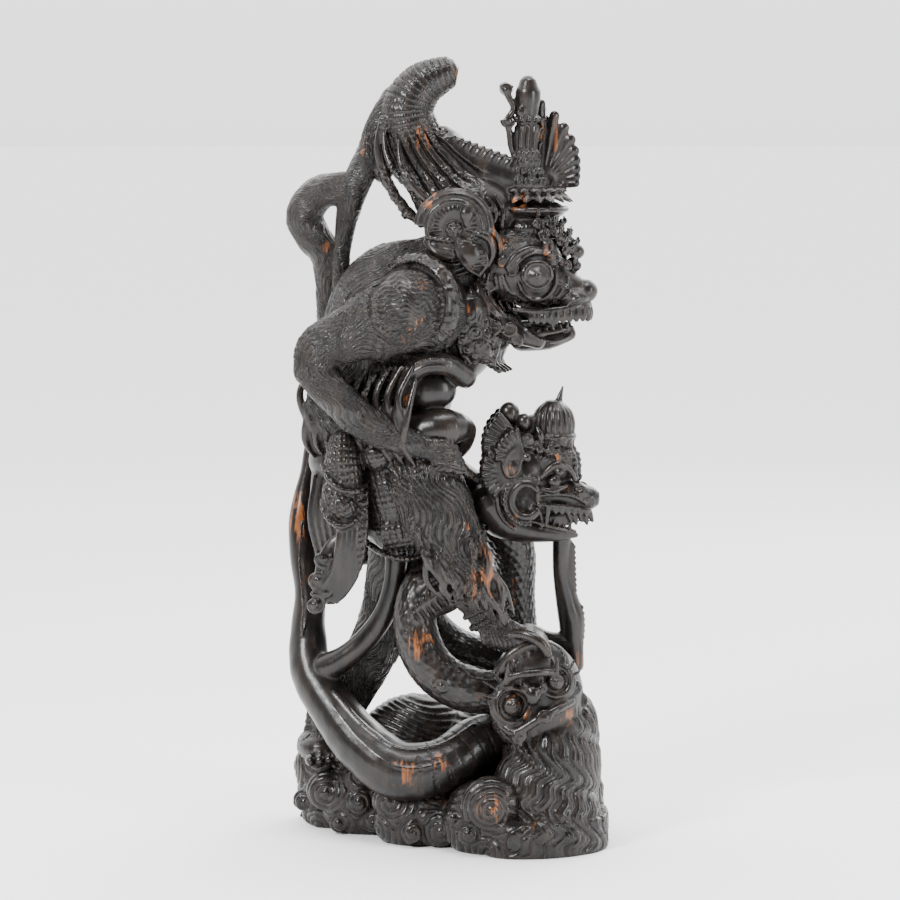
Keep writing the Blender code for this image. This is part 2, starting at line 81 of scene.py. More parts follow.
def smooth_path(stations, gap):
    """Close stations of a smooth path through a few of x, y, z and radius."""
    points = np.array(stations, float)
    lengths = np.linalg.norm(np.diff(points[:, :3], axis=0), axis=1)
    slopes = np.diff(points, axis=0) / lengths[:, None]
    lean = np.vstack([slopes[:1], slopes[-1:]]) if len(points) == 2 else np.vstack(
        [
            slopes[:1],
            (slopes[:-1] * lengths[1:, None] + slopes[1:] * lengths[:-1, None])
            / (lengths[1:] + lengths[:-1])[:, None],
            slopes[-1:],
        ]
    )
    runs = []
    for i, length in enumerate(lengths):
        t = np.linspace(0, 1, max(2, int(length / gap)), endpoint=False)[:, None]
        runs.append(
            (2 * t**3 - 3 * t**2 + 1) * points[i]
            + (t**3 - 2 * t**2 + t) * length * lean[i]
            + (3 * t**2 - 2 * t**3) * points[i + 1]
            + (t**3 - t**2) * length * lean[i + 1]
        )
    return np.vstack(runs + [points[-1:]])


def carried_frames(spots, facing=None):
    """Tangent and two cross directions along a path, turned as little as the path allows."""
    tangents = np.gradient(spots, axis=0)
    tangents /= np.linalg.norm(tangents, axis=1)[:, None] + 1e-9
    first = np.array(facing if facing is not None else (0.0, 1.0, 0.01))
    across = []
    for tangent in tangents:
        if facing is not None:
            first = np.array(facing, float)
        first = first - tangent * (first @ tangent)
        size = np.linalg.norm(first)
        if size < 1e-3:
            first = np.cross(tangent, (0.3, 0.2, 1.0))
            size = np.linalg.norm(first)
        first = first / size
        across.append(first)
    across = np.array(across)
    return tangents, across, np.cross(tangents, across)


class Masses:
    """What one piece is roughed out from: limbs, lumps, spikes and volutes that run into each other."""

    balls = {}

    def __init__(self):
        self.form = bmesh.new()
        self.lines = []

    def ball(self, sides, rings):
        """A unit ball as a mesh; each kind is built once and copied."""
        key = (sides, rings)
        if key not in self.balls:
            form = bmesh.new()
            bmesh.ops.create_uvsphere(form, u_segments=sides, v_segments=rings, radius=1.0)
            self.balls[key] = bpy.data.meshes.new("ball")
            form.to_mesh(self.balls[key])
            form.free()
        return self.balls[key].copy()

    def keep(self, shape):
        """Adds a mesh to the masses."""
        self.form.from_mesh(shape)
        bpy.data.meshes.remove(shape)

    def lump(self, centre, radii, turn=(0, 0, 0), sides=16):
        """An ellipsoid; turn is in degrees about X, Y and Z."""
        if isinstance(radii, (int, float)):
            radii = (radii,) * 3
        shape = self.ball(sides, max(8, sides // 2))
        shape.transform(
            Matrix.Translation(centre)
            @ Euler([math.radians(a) for a in turn]).to_matrix().to_4x4()
            @ Matrix.Diagonal((*radii, 1.0))
        )
        self.keep(shape)

    def limb(self, *stations, sides=10, facing=None, thin=1.0, gap=None, fur=0):
        """A ball drawn out along stations of x, y, z and radius; thin flattens it towards facing."""
        path = smooth_path(stations, gap or max(1.2, 0.55 * min(max(s[3] for s in stations), 8)))
        spots, radii = path[:, :3], np.maximum(path[:, 3], 0.15)
        tangents, across, up = carried_frames(spots, facing)
        if fur:
            run = np.concatenate([[0], np.cumsum(np.linalg.norm(np.diff(spots, axis=0), axis=1))])
            self.lines.append((spots, tangents, across, up, radii, run, np.full(len(spots), fur)))
        caps = 3
        lead = np.arange(caps) / caps * math.pi / 2
        start = spots[0] - tangents[0] * radii[0] * np.cos(lead)[:, None]
        end = spots[-1] + tangents[-1] * radii[-1] * np.cos(lead[::-1])[:, None]
        centres = np.vstack([start, spots, end])
        sizes = np.concatenate([radii[0] * np.sin(lead), radii, radii[-1] * np.sin(lead[::-1])])
        firsts = np.vstack([across[:1]] * caps + [across] + [across[-1:]] * caps)
        seconds = np.vstack([up[:1]] * caps + [up] + [up[-1:]] * caps)
        shape = self.ball(sides, len(centres) - 1)
        unit = np.empty(len(shape.vertices) * 3)
        shape.vertices.foreach_get("co", unit)
        unit = unit.reshape(-1, 3)
        down = np.arccos(np.clip(unit[:, 2], -1, 1)) / math.pi
        ring = np.rint((1 - down) * (len(centres) - 1)).astype(int)
        angle = np.arctan2(unit[:, 1], unit[:, 0])
        placed = (
            centres[ring]
            + firsts[ring] * (sizes[ring] * np.cos(angle) * thin)[:, None]
            + seconds[ring] * (sizes[ring] * np.sin(angle))[:, None]
        )
        shape.vertices.foreach_set("co", placed.ravel())
        self.keep(shape)
        return spots

    def spike(self, foot, tip, radius, tip_radius=0.5):
        """A tooth, claw or leaf point."""
        foot, tip = Vector(foot), Vector(tip)
        self.limb((*foot, radius), (*foot.lerp(tip, 0.5), radius * 0.62), (*tip, tip_radius), sides=8)

    def volute(self, centre, radius, thick, turns, face=(0, -1, 0), start=0.0, rise=0.0, bead=True):
        """A ridge that winds inwards on the plane whose normal is face, with a bead in its eye."""
        normal = Vector(face).normalized()
        side = normal.cross(Vector((0, 0, 1))).normalized()
        up = side.cross(normal)
        steps = max(6, round(turns * 8))
        stations = []
        for i in range(steps + 1):
            share = i / steps
            angle = math.radians(start) + share * turns * 2 * math.pi
            reach = radius * (1 - 0.8 * share)
            spot = Vector(centre) + (side * math.cos(angle) + up * math.sin(angle)) * reach
            stations.append((*(spot + normal * rise * share), thick * (1 - 0.35 * share)))
        self.limb(*stations, sides=8, gap=max(1.2, thick * 0.6))
        if bead:
            self.lump(Vector(centre) + normal * rise, thick * 1.1, sides=10)

    def beads(self, spots, radius, every=1.0):
        """Round beads set along a path."""
        spots = np.array([tuple(s)[:3] for s in spots], float)
        run = np.concatenate([[0], np.cumsum(np.linalg.norm(np.diff(spots, axis=0), axis=1))])
        count = max(2, round(run[-1] / (2 * radius * every)))
        for place in np.linspace(0, run[-1], count):
            spot = [np.interp(place, run, spots[:, k]) for k in range(3)]
            self.lump(spot, radius, sides=10)

    def petal(self, foot, tip, width, face=(0, -1, 0), thin=0.35, vein=True):
        """A leaf that swells and comes to a point, with a raised vein down its middle."""
        foot, tip = Vector(foot), Vector(tip)
        normal = Vector(face).normalized()
        middle = foot.lerp(tip, 0.45) + normal * width * 0.25
        self.limb((*foot, width * 0.55), (*middle, width), (*tip, 0.6), facing=normal, thin=thin)
        if vein:
            lift = normal * width * thin * 0.8
            self.limb(
                (*(foot + lift), 0.8), (*(middle + lift), 1.1), (*(tip + lift * 0.3), 0.5), sides=8, gap=2.0
            )

    def surface(self):
        """The masses so far, for seating what is cut on them."""
        return BVHTree.FromBMesh(self.form)

    def fuse(self, name, grain=GRAIN, ease=1):
        """One closed skin over the masses, in metres, sawn off level with the underside."""
        shells = bpy.data.meshes.new(name)
        self.form.to_mesh(shells)
        self.form.free()
        shells.transform(Matrix.Scale(MM, 4) @ Matrix.Translation((-MIDDLE[0], -MIDDLE[1], -FOOT_LEVEL)))
        piece = bpy.data.objects.new(name, shells)
        bpy.context.scene.collection.objects.link(piece)
        skin = piece.modifiers.new("skin", "REMESH")
        skin.mode = "VOXEL"
        skin.voxel_size = grain * MM
        soft = piece.modifiers.new("ease", "SMOOTH")
        soft.factor = 0.5
        soft.iterations = ease
        graph = bpy.context.evaluated_depsgraph_get()
        whole = bpy.data.meshes.new_from_object(piece.evaluated_get(graph))
        piece.modifiers.clear()
        piece.data = whole
        form = bmesh.new()
        form.from_mesh(whole)
        drop_crumbs(form)
        if min(v.co.z for v in form.verts) < 0:
            everything = form.verts[:] + form.edges[:] + form.faces[:]
            cut = bmesh.ops.bisect_plane(
                form, geom=everything, plane_co=(0, 0, 0), plane_no=(0, 0, 1), clear_inner=True
            )
            rim = [g for g in cut["geom_cut"] if isinstance(g, bmesh.types.BMEdge)]
            bmesh.ops.holes_fill(form, edges=rim, sides=0)
        form.to_mesh(whole)
        form.free()
        return piece


def drop_crumbs(form):
    """Removes loose shells too small to see, which fusing can leave inside a thick place."""
    left = set(form.verts)
    shells = []
    while left:
        seed = left.pop()
        shell, edge = [seed], [seed]
        while edge:
            for link in edge.pop().link_edges:
                for other in link.verts:
                    if other in left:
                        left.remove(other)
                        shell.append(other)
                        edge.append(other)
        shells.append(shell)
    largest = max(len(shell) for shell in shells)
    loose = [vert for shell in shells if len(shell) < largest for vert in shell]
    if loose:
        bmesh.ops.delete(form, geom=loose, context="VERTS")


def read(mesh, what="co"):
    """A mesh's corners or their normals as an array."""
    values = np.empty(len(mesh.vertices) * 3)
    if what == "co":
        mesh.vertices.foreach_get("co", values)
    else:
        mesh.vertex_normals.foreach_get("vector", values)
    return values.reshape(-1, 3)


def to_layout(spots):
    """Places in metres of the frame, as millimetres of the layout."""
    return spots / MM + np.array([*MIDDLE, FOOT_LEVEL])


def push(piece, depth):
    """Moves each corner along its normal by depth, in millimetres; the sawn underside stays flat."""
    mesh = piece.data
    spots = read(mesh)
    keep = np.clip(spots[:, 2] / MM / FOOT_FADE, 0, 1)
    spots += read(mesh, "normal") * (depth * keep * MM)[:, None]
    spots = np.clip(spots, np.array(cad_box[0]), np.array(cad_box[1]))
    mesh.vertices.foreach_set("co", spots.ravel())
    mesh.update()


def waves(spots, size, seed=0):
    """Smooth unevenness between -1 and 1, from a few crossing waves; size is a wave in millimetres."""
    total = np.zeros(len(spots))
    for i in range(5):
        turn = seed * 1.7 + i * 2.4
        lean = np.array([math.cos(turn), math.sin(turn * 1.3), math.sin(turn * 0.7 + 1)])
        total += np.sin(spots @ lean * (2 * math.pi / size) * (0.7 + 0.17 * i) + turn * 3)
    return total / 3


def note(mesh, name, values, kind="FLOAT"):
    """Keeps a value for each corner, for the finish to read."""
    layer = mesh.attributes.new(name, kind, "POINT")
    flat = np.ascontiguousarray(values, dtype=np.float32).ravel()
    layer.data.foreach_set("value" if kind == "FLOAT" else "vector", flat)


def scattered(spots, gap, seed):
    """Corners at least gap apart, spread over a surface."""
    left = np.random.default_rng(seed).permutation(len(spots))
    chosen = []
    while len(left):
        chosen.append(left[0])
        left = left[np.linalg.norm(spots[left] - spots[left[0]], axis=1) > gap]
    return chosen


def cut_curls(piece, eyes, pitch, depth, where=None, gap=None, seed=1, swell=0.9):
    """Cuts spirals round eyes, each a place and a radius, and round more of them gap apart.

    Each corner belongs to the eye that it is nearest to, and a crease parts it from the next.
    """
    mesh = piece.data
    spots, normals = to_layout(read(mesh)), read(mesh, "normal")
    points = np.array([tuple(eye[0]) for eye in eyes]).reshape(-1, 3)
    sizes = np.array([float(eye[1]) for eye in eyes])
    if gap:
        free = np.ones(len(spots), dtype=bool) if where is None else where > 0.3
        for point, size in zip(points, sizes):
            free &= np.linalg.norm(spots - point, axis=1) > size + gap * 0.45
        more = spots[free][scattered(spots[free], gap, seed)]
        points = np.vstack([points, more])
        sizes = np.concatenate([sizes, np.full(len(more), gap * 0.55)])
    square = (spots**2).sum(1)[:, None] + (points**2).sum(1)[None] - 2 * spots @ points.T
    share = np.sqrt(square.clip(0)) / sizes[None]
    pair = np.argpartition(share, 1, axis=1)[:, :2]
    rows = np.arange(len(spots))
    swap = share[rows, pair[:, 0]] > share[rows, pair[:, 1]]
    pair[swap] = pair[swap][:, ::-1]
    near, next_best = pair[:, 0], pair[:, 1]
    facing = np.array([
        normals[((spots - point) ** 2).sum(1) < (0.5 * size) ** 2 + 4].mean(0)
        for point, size in zip(points, sizes)
    ])
    facing /= np.linalg.norm(facing, axis=1)[:, None] + 1e-9
    side = np.cross(facing, (0.01, 0.02, 1.0))
    side /= np.linalg.norm(side, axis=1)[:, None]
    above = np.cross(side, facing)
    away = spots - points[near]
    reach = np.linalg.norm(away, axis=1)
    turn = np.arctan2((away * above[near]).sum(1), (away * side[near]).sum(1))
    hand = np.where(near % 2 == 0, 1.0, -1.0)
    phase = reach / pitch + hand * turn / (2 * math.pi) + 0.37 * near
    ridge = np.abs(np.sin(math.pi * phase)) ** 0.6
    crease = ((share[rows, next_best] - share[rows, near]) * sizes[near] / (0.7 * pitch)).clip(0, 1)
    height = crease * (ridge - 0.7 + swell * (1 - reach / sizes[near]).clip(0, 1)) - 0.9 * (1 - crease)
    height = np.where(reach < 0.45 * pitch, 0.3 + swell, height)
    push(piece, depth * height * (1.0 if where is None else where))


def wavy_hair(piece, axis, width, hair):
    """Cuts long wavy locks down a mass round an upright axis: broad locks, each cut into strands."""
    x, y, z = to_layout(read(piece.data)).T
    turn = np.arctan2(y - axis[1], x - axis[0])
    spread, long_wave, short_wave = 36, 47, 21
    across = turn * spread + 4.6 * np.sin(2 * math.pi * z / long_wave + 2 * turn)
    across = across + 2.2 * np.sin(2 * math.pi * z / short_wave + 5 * turn + 1)
    broad = np.abs(np.sin(math.pi * across / (3 * width))) ** 0.8
    fine = np.abs(np.sin(math.pi * across / width)) ** 0.7
    push(piece, hair * (2.0 * (broad - 0.6) + 1.0 * (fine - 0.7)))


def note_hollows(piece):
    """Keeps how deep each corner lies below its surroundings: dust stays there, and ridges are rubbed and
    painted lighter as a highlight.
    """
    mesh = piece.data
    spots = read(mesh)
    ends = np.empty(len(mesh.edges) * 2, dtype=np.int64)
    mesh.edges.foreach_get("vertices", ends)
    ends = ends.reshape(-1, 2)
    count = np.bincount(ends.ravel(), minlength=len(spots)).clip(1)
    even = spots.copy()
    easings, full_depth = 8, 0.45
    for _ in range(easings):
        even = np.stack(
            [
                np.bincount(ends[:, 0], even[ends[:, 1], k], len(spots))
                + np.bincount(ends[:, 1], even[ends[:, 0], k], len(spots))
                for k in range(3)
            ],
            axis=1,
        ) / count[:, None]
    depth = ((even - spots) * read(mesh, "normal")).sum(1) / MM
    note(mesh, "hollow", np.clip(depth / full_depth, -1, 1))


class Wire:
    """A socket of a material's nodes; sums and products of it become Math nodes."""

    def __init__(self, tree, socket=None):
        self.tree = tree
        self.socket = socket

    def node(self, kind, settings=None, sockets=None, out=0):
        made = self.tree.nodes.new(kind)
        for name, value in (settings or {}).items():
            if name == "stops":
                while len(made.color_ramp.elements) < len(value):
                    made.color_ramp.elements.new(0.5)
                for stop, (place, colour) in zip(made.color_ramp.elements, value):
                    stop.position = place
                    stop.color = colour
            else:
                setattr(made, name, value)
        for name, value in (sockets or {}).items():
            if isinstance(value, Wire):
                self.tree.links.new(value.socket, made.inputs[name])
            else:
                made.inputs[name].default_value = value
        return Wire(self.tree, made.outputs[out])

    def maths(self, operation, *values):
        return self.node("ShaderNodeMath", {"operation": operation}, dict(enumerate(values)))

    def vector(self, operation, *values, out=0):
        return self.node("ShaderNodeVectorMath", {"operation": operation}, dict(enumerate(values)), out)

    def blend(self, low, high):
        """The colour low where this is 0 and high where it is 1."""
        return self.node("ShaderNodeMix", {"data_type": "RGBA"}, {0: self, 6: low, 7: high}, 2)

    def held(self):
        return self.node("ShaderNodeClamp", None, {0: self})

    def __add__(self, other):
        return self.maths("ADD", self, other)

    def __sub__(self, other):
        return self.maths("SUBTRACT", self, other)

    def __rsub__(self, other):
        return self.maths("SUBTRACT", other, self)

    def __mul__(self, other):
        return self.maths("MULTIPLY", self, other)

    def __truediv__(self, other):
        return self.maths("DIVIDE", self, other)

    __radd__ = __add__
    __rmul__ = __mul__


# The pale heartwood colour is both the grain's pale figure and the tone that ridges are painted towards as
# a highlight; dust is the real colour held in the hollows.
HEARTWOOD = (0.0060, 0.0050, 0.0048, 1)
PALE_GRAIN_AND_SHEEN = (0.0210, 0.0145, 0.0110, 1)
DUST = (0.0160, 0.0130, 0.0110, 1)
SAPWOOD = (0.240, 0.078, 0.022, 1)


def ebony(name, sapwood=(), combed=False):
    """Polished near-black wood, streaked up the log, its ridges painted lighter as a highlight; sapwood
    lists x, y, z and reach of pale places.
    """
    wood = bpy.data.materials.new(name)
    wood.use_nodes = True
    tree = wood.node_tree
    shader = tree.nodes["Principled BSDF"]
    start = Wire(tree)
    place = start.node("ShaderNodeTexCoord", out="Object")
    drawn_up = start.vector("MULTIPLY", place, (150, 150, 11))
    figure = start.node("ShaderNodeTexNoise", None, {"Vector": drawn_up, "Scale": 1.0, "Detail": 4.0})
    fibre = start.node(
        "ShaderNodeTexNoise",
        None,
        {"Vector": start.vector("MULTIPLY", place, (900, 900, 60)), "Scale": 1.0, "Detail": 2.0},
    )
    hollow = start.node("ShaderNodeAttribute", {"attribute_name": "hollow"}, out="Fac")
    deep = (hollow * 1.3).held()
    # Ridges: real rubbed wear that lowers the roughness below, and a painted highlight that lightens their
    # tone.
    ridge_wear_and_sheen = (hollow * -1.3).held()
    tone = ((figure - 0.45) * 3.2 + (fibre - 0.5) * 0.7 + ridge_wear_and_sheen * 0.25).held()
    colour = tone.blend(HEARTWOOD, PALE_GRAIN_AND_SHEEN)
    colour = (deep * 0.45).blend(colour, DUST)
    pale = None
    for x, y, z, reach in sapwood:
        spot = to_frame((x, y, z))
        near = 1 - start.vector("DISTANCE", place, spot, out=1) / (reach * MM)
        pale = near.held() if pale is None else start.maths("MAXIMUM", pale, near.held())
    if pale is not None:
        narrow = start.vector("MULTIPLY", place, (260, 260, 14))
        streak = start.node("ShaderNodeTexNoise", None, {"Vector": narrow, "Scale": 1.0, "Detail": 3.0})
        streak = ((streak - 0.53) * 9 + (fibre - 0.5) * 2 + (pale - 0.4) * 0.8).held()
        colour = ((pale * 2.5).held() * streak * (1 - deep * 0.7) * 0.9).blend(colour, SAPWOOD)
    tree.links.new(colour.socket, shader.inputs["Base Color"])
    rough = 0.33 + deep * 0.25 + (fibre - 0.5) * 0.16 - ridge_wear_and_sheen * 0.06
    tree.links.new(rough.socket, shader.inputs["Roughness"])
    shader.inputs["Specular IOR Level"].default_value = 0.42
    height = fibre * 0.25
    pores = start.node("ShaderNodeTexNoise", None, {"Vector": place, "Scale": 420.0, "Detail": 2.0})
    height = height + pores * 0.35
    if combed:
        flow_at = start.node("ShaderNodeAttribute", {"attribute_name": "flow"}, out="Vector")
        split = tree.nodes.new("ShaderNodeSeparateXYZ")
        tree.links.new(flow_at.socket, split.inputs[0])
        turn = start.maths("ARCTAN2", Wire(tree, split.outputs[1]), Wire(tree, split.outputs[0]))
        fine = start.maths("ABSOLUTE", start.maths("SINE", turn * 1.5))
        height = height + fine * Wire(tree, split.outputs[2]) * 1.5
    bump = start.node("ShaderNodeBump", None, {"Strength": 0.55, "Distance": 0.0004, "Height": height})
    tree.links.new(bump.socket, shader.inputs["Normal"])
    return wood


def to_frame(spot):
    """A place of the layout, in metres of the frame."""
    return tuple((spot[k] - (*MIDDLE, FOOT_LEVEL)[k]) * MM for k in range(3))


def finish(piece, wood):
    """Notes its hollows, thins the skin where it is plain, polishes the carved piece, hides the model's
    node and hangs the piece under the root.
    """
    note_hollows(piece)
    faces = sum(polygon.loop_total - 2 for polygon in piece.data.polygons)
    thin = piece.modifiers.new("thin", "DECIMATE")
    thin.ratio = min(KEPT_SHARE, MOST_FACES / faces)
    graph = bpy.context.evaluated_depsgraph_get()
    light = bpy.data.meshes.new_from_object(piece.evaluated_get(graph))
    piece.modifiers.clear()
    piece.data = light
    inside = np.clip(read(light), np.array(cad_box[0]), np.array(cad_box[1]))
    light.vertices.foreach_set("co", inside.ravel())
    light.update()
    piece.data.polygons.foreach_set("use_smooth", np.ones(len(piece.data.polygons), dtype=bool))
    piece.data.materials.clear()
    piece.data.materials.append(wood)
    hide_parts(NODE)
    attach(piece, "root")


FOOT_OUTLINE = [
    (-117, 66), (-86, 31), (-57, 8), (-15, -28), (14, -50), (35, -82), (74, -83), (110, -60), (115, 14),
    (106, 56), (64, 80), (-20, 88), (-98, 86),
]
FOOT_TOP = 22.0

# The demon's hair falls round this upright axis, in strands of this width
HAIR_AXIS = (70, -22)
HAIR_WIDTH = 3.2

rock = Masses()
edge = smooth_path([(x, y, 0, 1) for x, y in FOOT_OUTLINE + FOOT_OUTLINE[:1]], 6)[:-1]
foot = bmesh.new()
corners = [foot.verts.new((x, y, FOOT_LEVEL - 3)) for x, y, z, r in edge]
sole = foot.faces.new(corners)
wall = bmesh.ops.extrude_face_region(foot, geom=[sole])["geom"]
bmesh.ops.translate(foot, vec=(0, 0, FOOT_TOP - FOOT_LEVEL + 1),
                    verts=[g for g in wall if isinstance(g, bmesh.types.BMVert)])
bmesh.ops.recalc_face_normals(foot, faces=foot.faces)
slab = bpy.data.meshes.new("slab")
foot.to_mesh(slab)
foot.free()
rock.keep(slab)
for middle, radii in (
    ((-82, 48, 20), (34, 34, 46)),
    ((-62, 20, 16), (36, 28, 32)),
    ((-20, -18, 12), (38, 30, 28)),
    ((30, -46, 16), (36, 32, 32)),
    ((72, -42, 18), (40, 38, 40)),
    ((86, 6, 20), (30, 48, 50)),
    ((20, 40, 16), (88, 42, 44)),
    ((-26, 44, 50), (48, 30, 46)),
    ((34, 36, 50), (44, 34, 42)),
    ((-103, 54, 36), (16, 25, 33)),
):
    rock.lump(middle, radii, sides=28)
skin = rock.surface()

# x, height and radius of the volutes that the front shows
front_eyes = []
for x, z, size in (
    (-94, 26, 16), (-69, 22, 11), (-103, 52, 11), (-78, 50, 10), (-45, 27, 14), (-28, 7, 9), (-7, 9, 15),
    (-9, 36, 12), (14, 12, 9), (30, 31, 24), (50, 10, 11), (3, 22, 7), (-112, 14, 9), (68, 14, 11),
    (88, 9, 9), (-58, 6, 8), (-84, 4, 8),
):
    spot = skin.ray_cast(Vector((x, -200, z)), Vector((0, 1, 0)))[0]
    if spot is not None:
        rock.lump(spot - Vector((0, -size * 0.2, 0)), (size * 0.95, size * 0.6, size * 0.95), sides=20)
        front_eyes.append((spot - Vector((0, size * 0.42, 0)), size))
piece = rock.fuse("rock_base", GRAIN * 1.05)
x, y, z = to_layout(read(piece.data)).T
falls = ((x - 40) / 5).clip(0, 1) * ((-22 - y) / 6).clip(0, 1)
mound = ((z - 62) / 6).clip(0, 1) * (y > -5)
cut_curls(piece, front_eyes, 5.2, 1.7, (1 - falls) * (1 - mound), 25, 4)
wavy_hair(piece, HAIR_AXIS, HAIR_WIDTH, falls)
ripple = np.abs(np.sin(math.pi * (z + 0.25 * x + 3.0 * np.sin(x / 11 + z / 25)) / 4.4)) ** 0.7
push(piece, mound * 1.3 * (ripple - 0.7))
spots = to_layout(read(piece.data))
push(piece, 0.25 * waves(spots, 17) + 0.15 * waves(spots, 6, 3))
finish(piece, ebony("ebony_rock", [(30, -80, 32, 13), (-6, -40, 30, 8), (64, -80, 16, 9), (-60, 0, 22, 7)]))

# The demon
# The fallen demon's head, thrown back on the rock with its mouth upwards under the warrior's foot.
# It is cut from the same log: ringed eyes, bared teeth, and locks of hair that run down to the ground.


def flow(piece, lines, slack=2.5):
    """For each corner: its run along the nearest combed limb, its turn round it, how near its skin it is,
    and that limb's own count of strands or scales.
    """
    spots = to_layout(read(piece.data))
    centres, tangents, across, up, radii, runs, counts = (
        np.concatenate([line[k] for line in lines]) for k in range(7)
    )
    nearest = np.empty(len(spots), dtype=int)
    batch = 20000
    for first in range(0, len(spots), batch):
        some = spots[first:first + batch]
        square = (some**2).sum(1)[:, None] + (centres**2).sum(1)[None] - 2 * some @ centres.T
        nearest[first:first + batch] = (np.sqrt(square.clip(0)) - radii[None]).argmin(1)
    away = spots - centres[nearest]
    right = (away * across[nearest]).sum(1)
    above = (away * up[nearest]).sum(1)
    run = runs[nearest] + (away * tangents[nearest]).sum(1)
    reach = np.hypot(right, above) - radii[nearest]
    near = 1 - ((np.abs(reach) - slack) / 3.0).clip(0, 1)
    return run, np.arctan2(above, right), near, counts[nearest]


def comb(piece, lines, depth=0.9, tuft=19, lean=0.0, seed=0.0, slack=2.5):
    """Cuts hair along the limbs: round strands between narrow grooves, in tufts that overlap."""
    run, turn, near, count = flow(piece, lines, slack)
    spots = to_layout(read(piece.data))
    phase = turn * count / (2 * math.pi) + lean * run
    phase += 1.3 * np.sin(2 * math.pi * run / 52 + 2 * turn + seed) + 0.6 * waves(spots, 38, seed)
    strand = np.abs(np.sin(math.pi * phase)) ** 0.7
    lock = np.abs(np.sin(np.floor(phase / 2) * 12.9898 + seed) * 43758.5453) % 1
    step = (run / tuft + lock) % 1
    push(piece, near * depth * (strand - 0.8 + 0.7 * (step - 0.5)))
    around = 2 * math.pi * phase
    note(piece.data, "flow", np.stack([np.cos(around), np.sin(around), near], axis=1), "FLOAT_VECTOR")


demon = Masses()
for middle, radii in (
    ((64, -30, 106), (36, 35, 45)),
    ((76, -24, 54), (37, 46, 55)),
    ((66, -44, 30), (36, 34, 46)),
    ((84, 8, 71), (29, 33, 40)),
    ((98, -18, 80), (13, 24, 24)),
):
    demon.lump(middle, radii, sides=32)
demon.lump((60, -52, 134), (25, 14, 15), (0, -18, 0), sides=24)
lip = [(35, -58, 126, 3.6), (44, -60, 142, 4), (62, -58, 151, 4), (82, -52, 143, 3.8), (88, -46, 128, 3)]
demon.limb(*lip)
demon.limb((37, -62, 120, 3), (48, -69, 129, 3.2), (60, -70, 131, 3.2), (76, -64, 130, 3),
           (86, -52, 120, 2.6))
for i in range(8):
    share = (i + 0.5) / 8
    x = 40 + 44 * share
    top = 146 - 90 * (share - 0.45) ** 2
    demon.spike((x, -64 + 7 * share, top - 2), (x + 1, -66 + 7 * share, top - 11), 2.9, 1.2)
demon.spike((42, -66, 124), (43, -70, 140), 3.2, 0.9)
demon.spike((78, -64, 128), (79, -66, 142), 3.0, 0.9)
for x, y, z, lid in ((46, -64, 106, 12.5), (78, -60, 123, 11)):
    eye = Vector((x, y, z))
    gaze = Vector((0.12, -1, 0.16)).normalized()
    demon.lump(eye, lid * 0.66, sides=24)
    demon.volute(eye + gaze * lid * 0.5, lid * 0.44, 1.1, 1.0, gaze, 0, bead=False)
    demon.lump(eye + gaze * lid * 0.62, lid * 0.2)
    for ring, thick, lift in ((1.0, 2.2, 0.1), (1.28, 1.6, -0.1)):
        side = gaze.cross(Vector((0, 0, 1))).normalized()
        up = side.cross(gaze)
        demon.limb(
            *[
                (*(eye + gaze * lid * lift + (side * math.cos(t) + up * math.sin(t)) * lid * ring), thick)
                for t in np.linspace(0, 2 * math.pi, 17)
            ],
            sides=8,
        )
    for k in range(7):
        lean = -70 + 23 * k
        t = math.radians(lean)
        out = side * math.sin(t) + up * math.cos(t)
        foot = eye + out * lid * 1.35 + gaze * 1.5
        demon.limb((*foot, 1.5), (*(foot + out * 5 + side * 1.5), 1.3), (*(foot + out * 9 + side * 4), 0.7),
                   sides=8)
demon.lump((61, -68, 114), (6, 5.5, 8), sides=20)
for side in (-1, 1):
    demon.volute((61 + 6.5 * side, -69, 119), 4.2, 1.4, 1.1, (0.2 * side, -1, 0), 90)
demon.limb((36, -62, 92, 3.4), (48, -70, 87, 3.8), (62, -71, 95, 3.8), (78, -67, 103, 3.6),
           (90, -54, 107, 3.2))
for x, y, z, size in ((34, -52, 108, 7), (52, -72, 84, 6), (70, -72, 98, 6), (92, -50, 116, 6),
                      (96, -38, 104, 7)):
    demon.volute((x, y, z), size, 1.7, 1.4, (0.2, -1, 0.1), 120 + x * 3, 1.0)
for i in range(6):
    hair_end = (40 + 12 * i, -74 + 4 * abs(i - 2), 12 + 4 * (i % 2))
    demon.volute(hair_end, 5.5, 1.8, 1.3, (0.1, -1, 0), 60 * i, 1)
piece = demon.fuse("demon_head")
x, y, z = to_layout(read(piece.data)).T
wavy_hair(piece, HAIR_AXIS, HAIR_WIDTH, ((np.where(y < -50, 88, 104) - z) / 8).clip(0, 1))
wood = ebony("ebony_demon", [(48, -66, 112, 8), (60, -72, 98, 9), (84, -54, 96, 10), (96, -44, 60, 10)])
finish(piece, wood)

# The serpent's body
# A slim tail rises up the back edge, winds down round the ground and up through the group in one
# long coil. The loop and the neck are cut with scales, and the rest is left smooth and polished.


def scale(piece, lines, length=5.5, depth=0.9):
    """Cuts rounded scales in offset rows along the limbs; each line's count says how many go round."""
    run, turn, near, count = flow(piece, lines)
    row = np.floor(run / length)
    along = run / length - row - 0.5
    across = (turn * count / (2 * math.pi) + 0.5 * (row % 2)) % 1 - 0.5
    dome = 1 - (across * 1.9) ** 2 - (along * 1.5) ** 2
    push(piece, near * depth * (dome.clip(-0.4, 1) - 0.5))


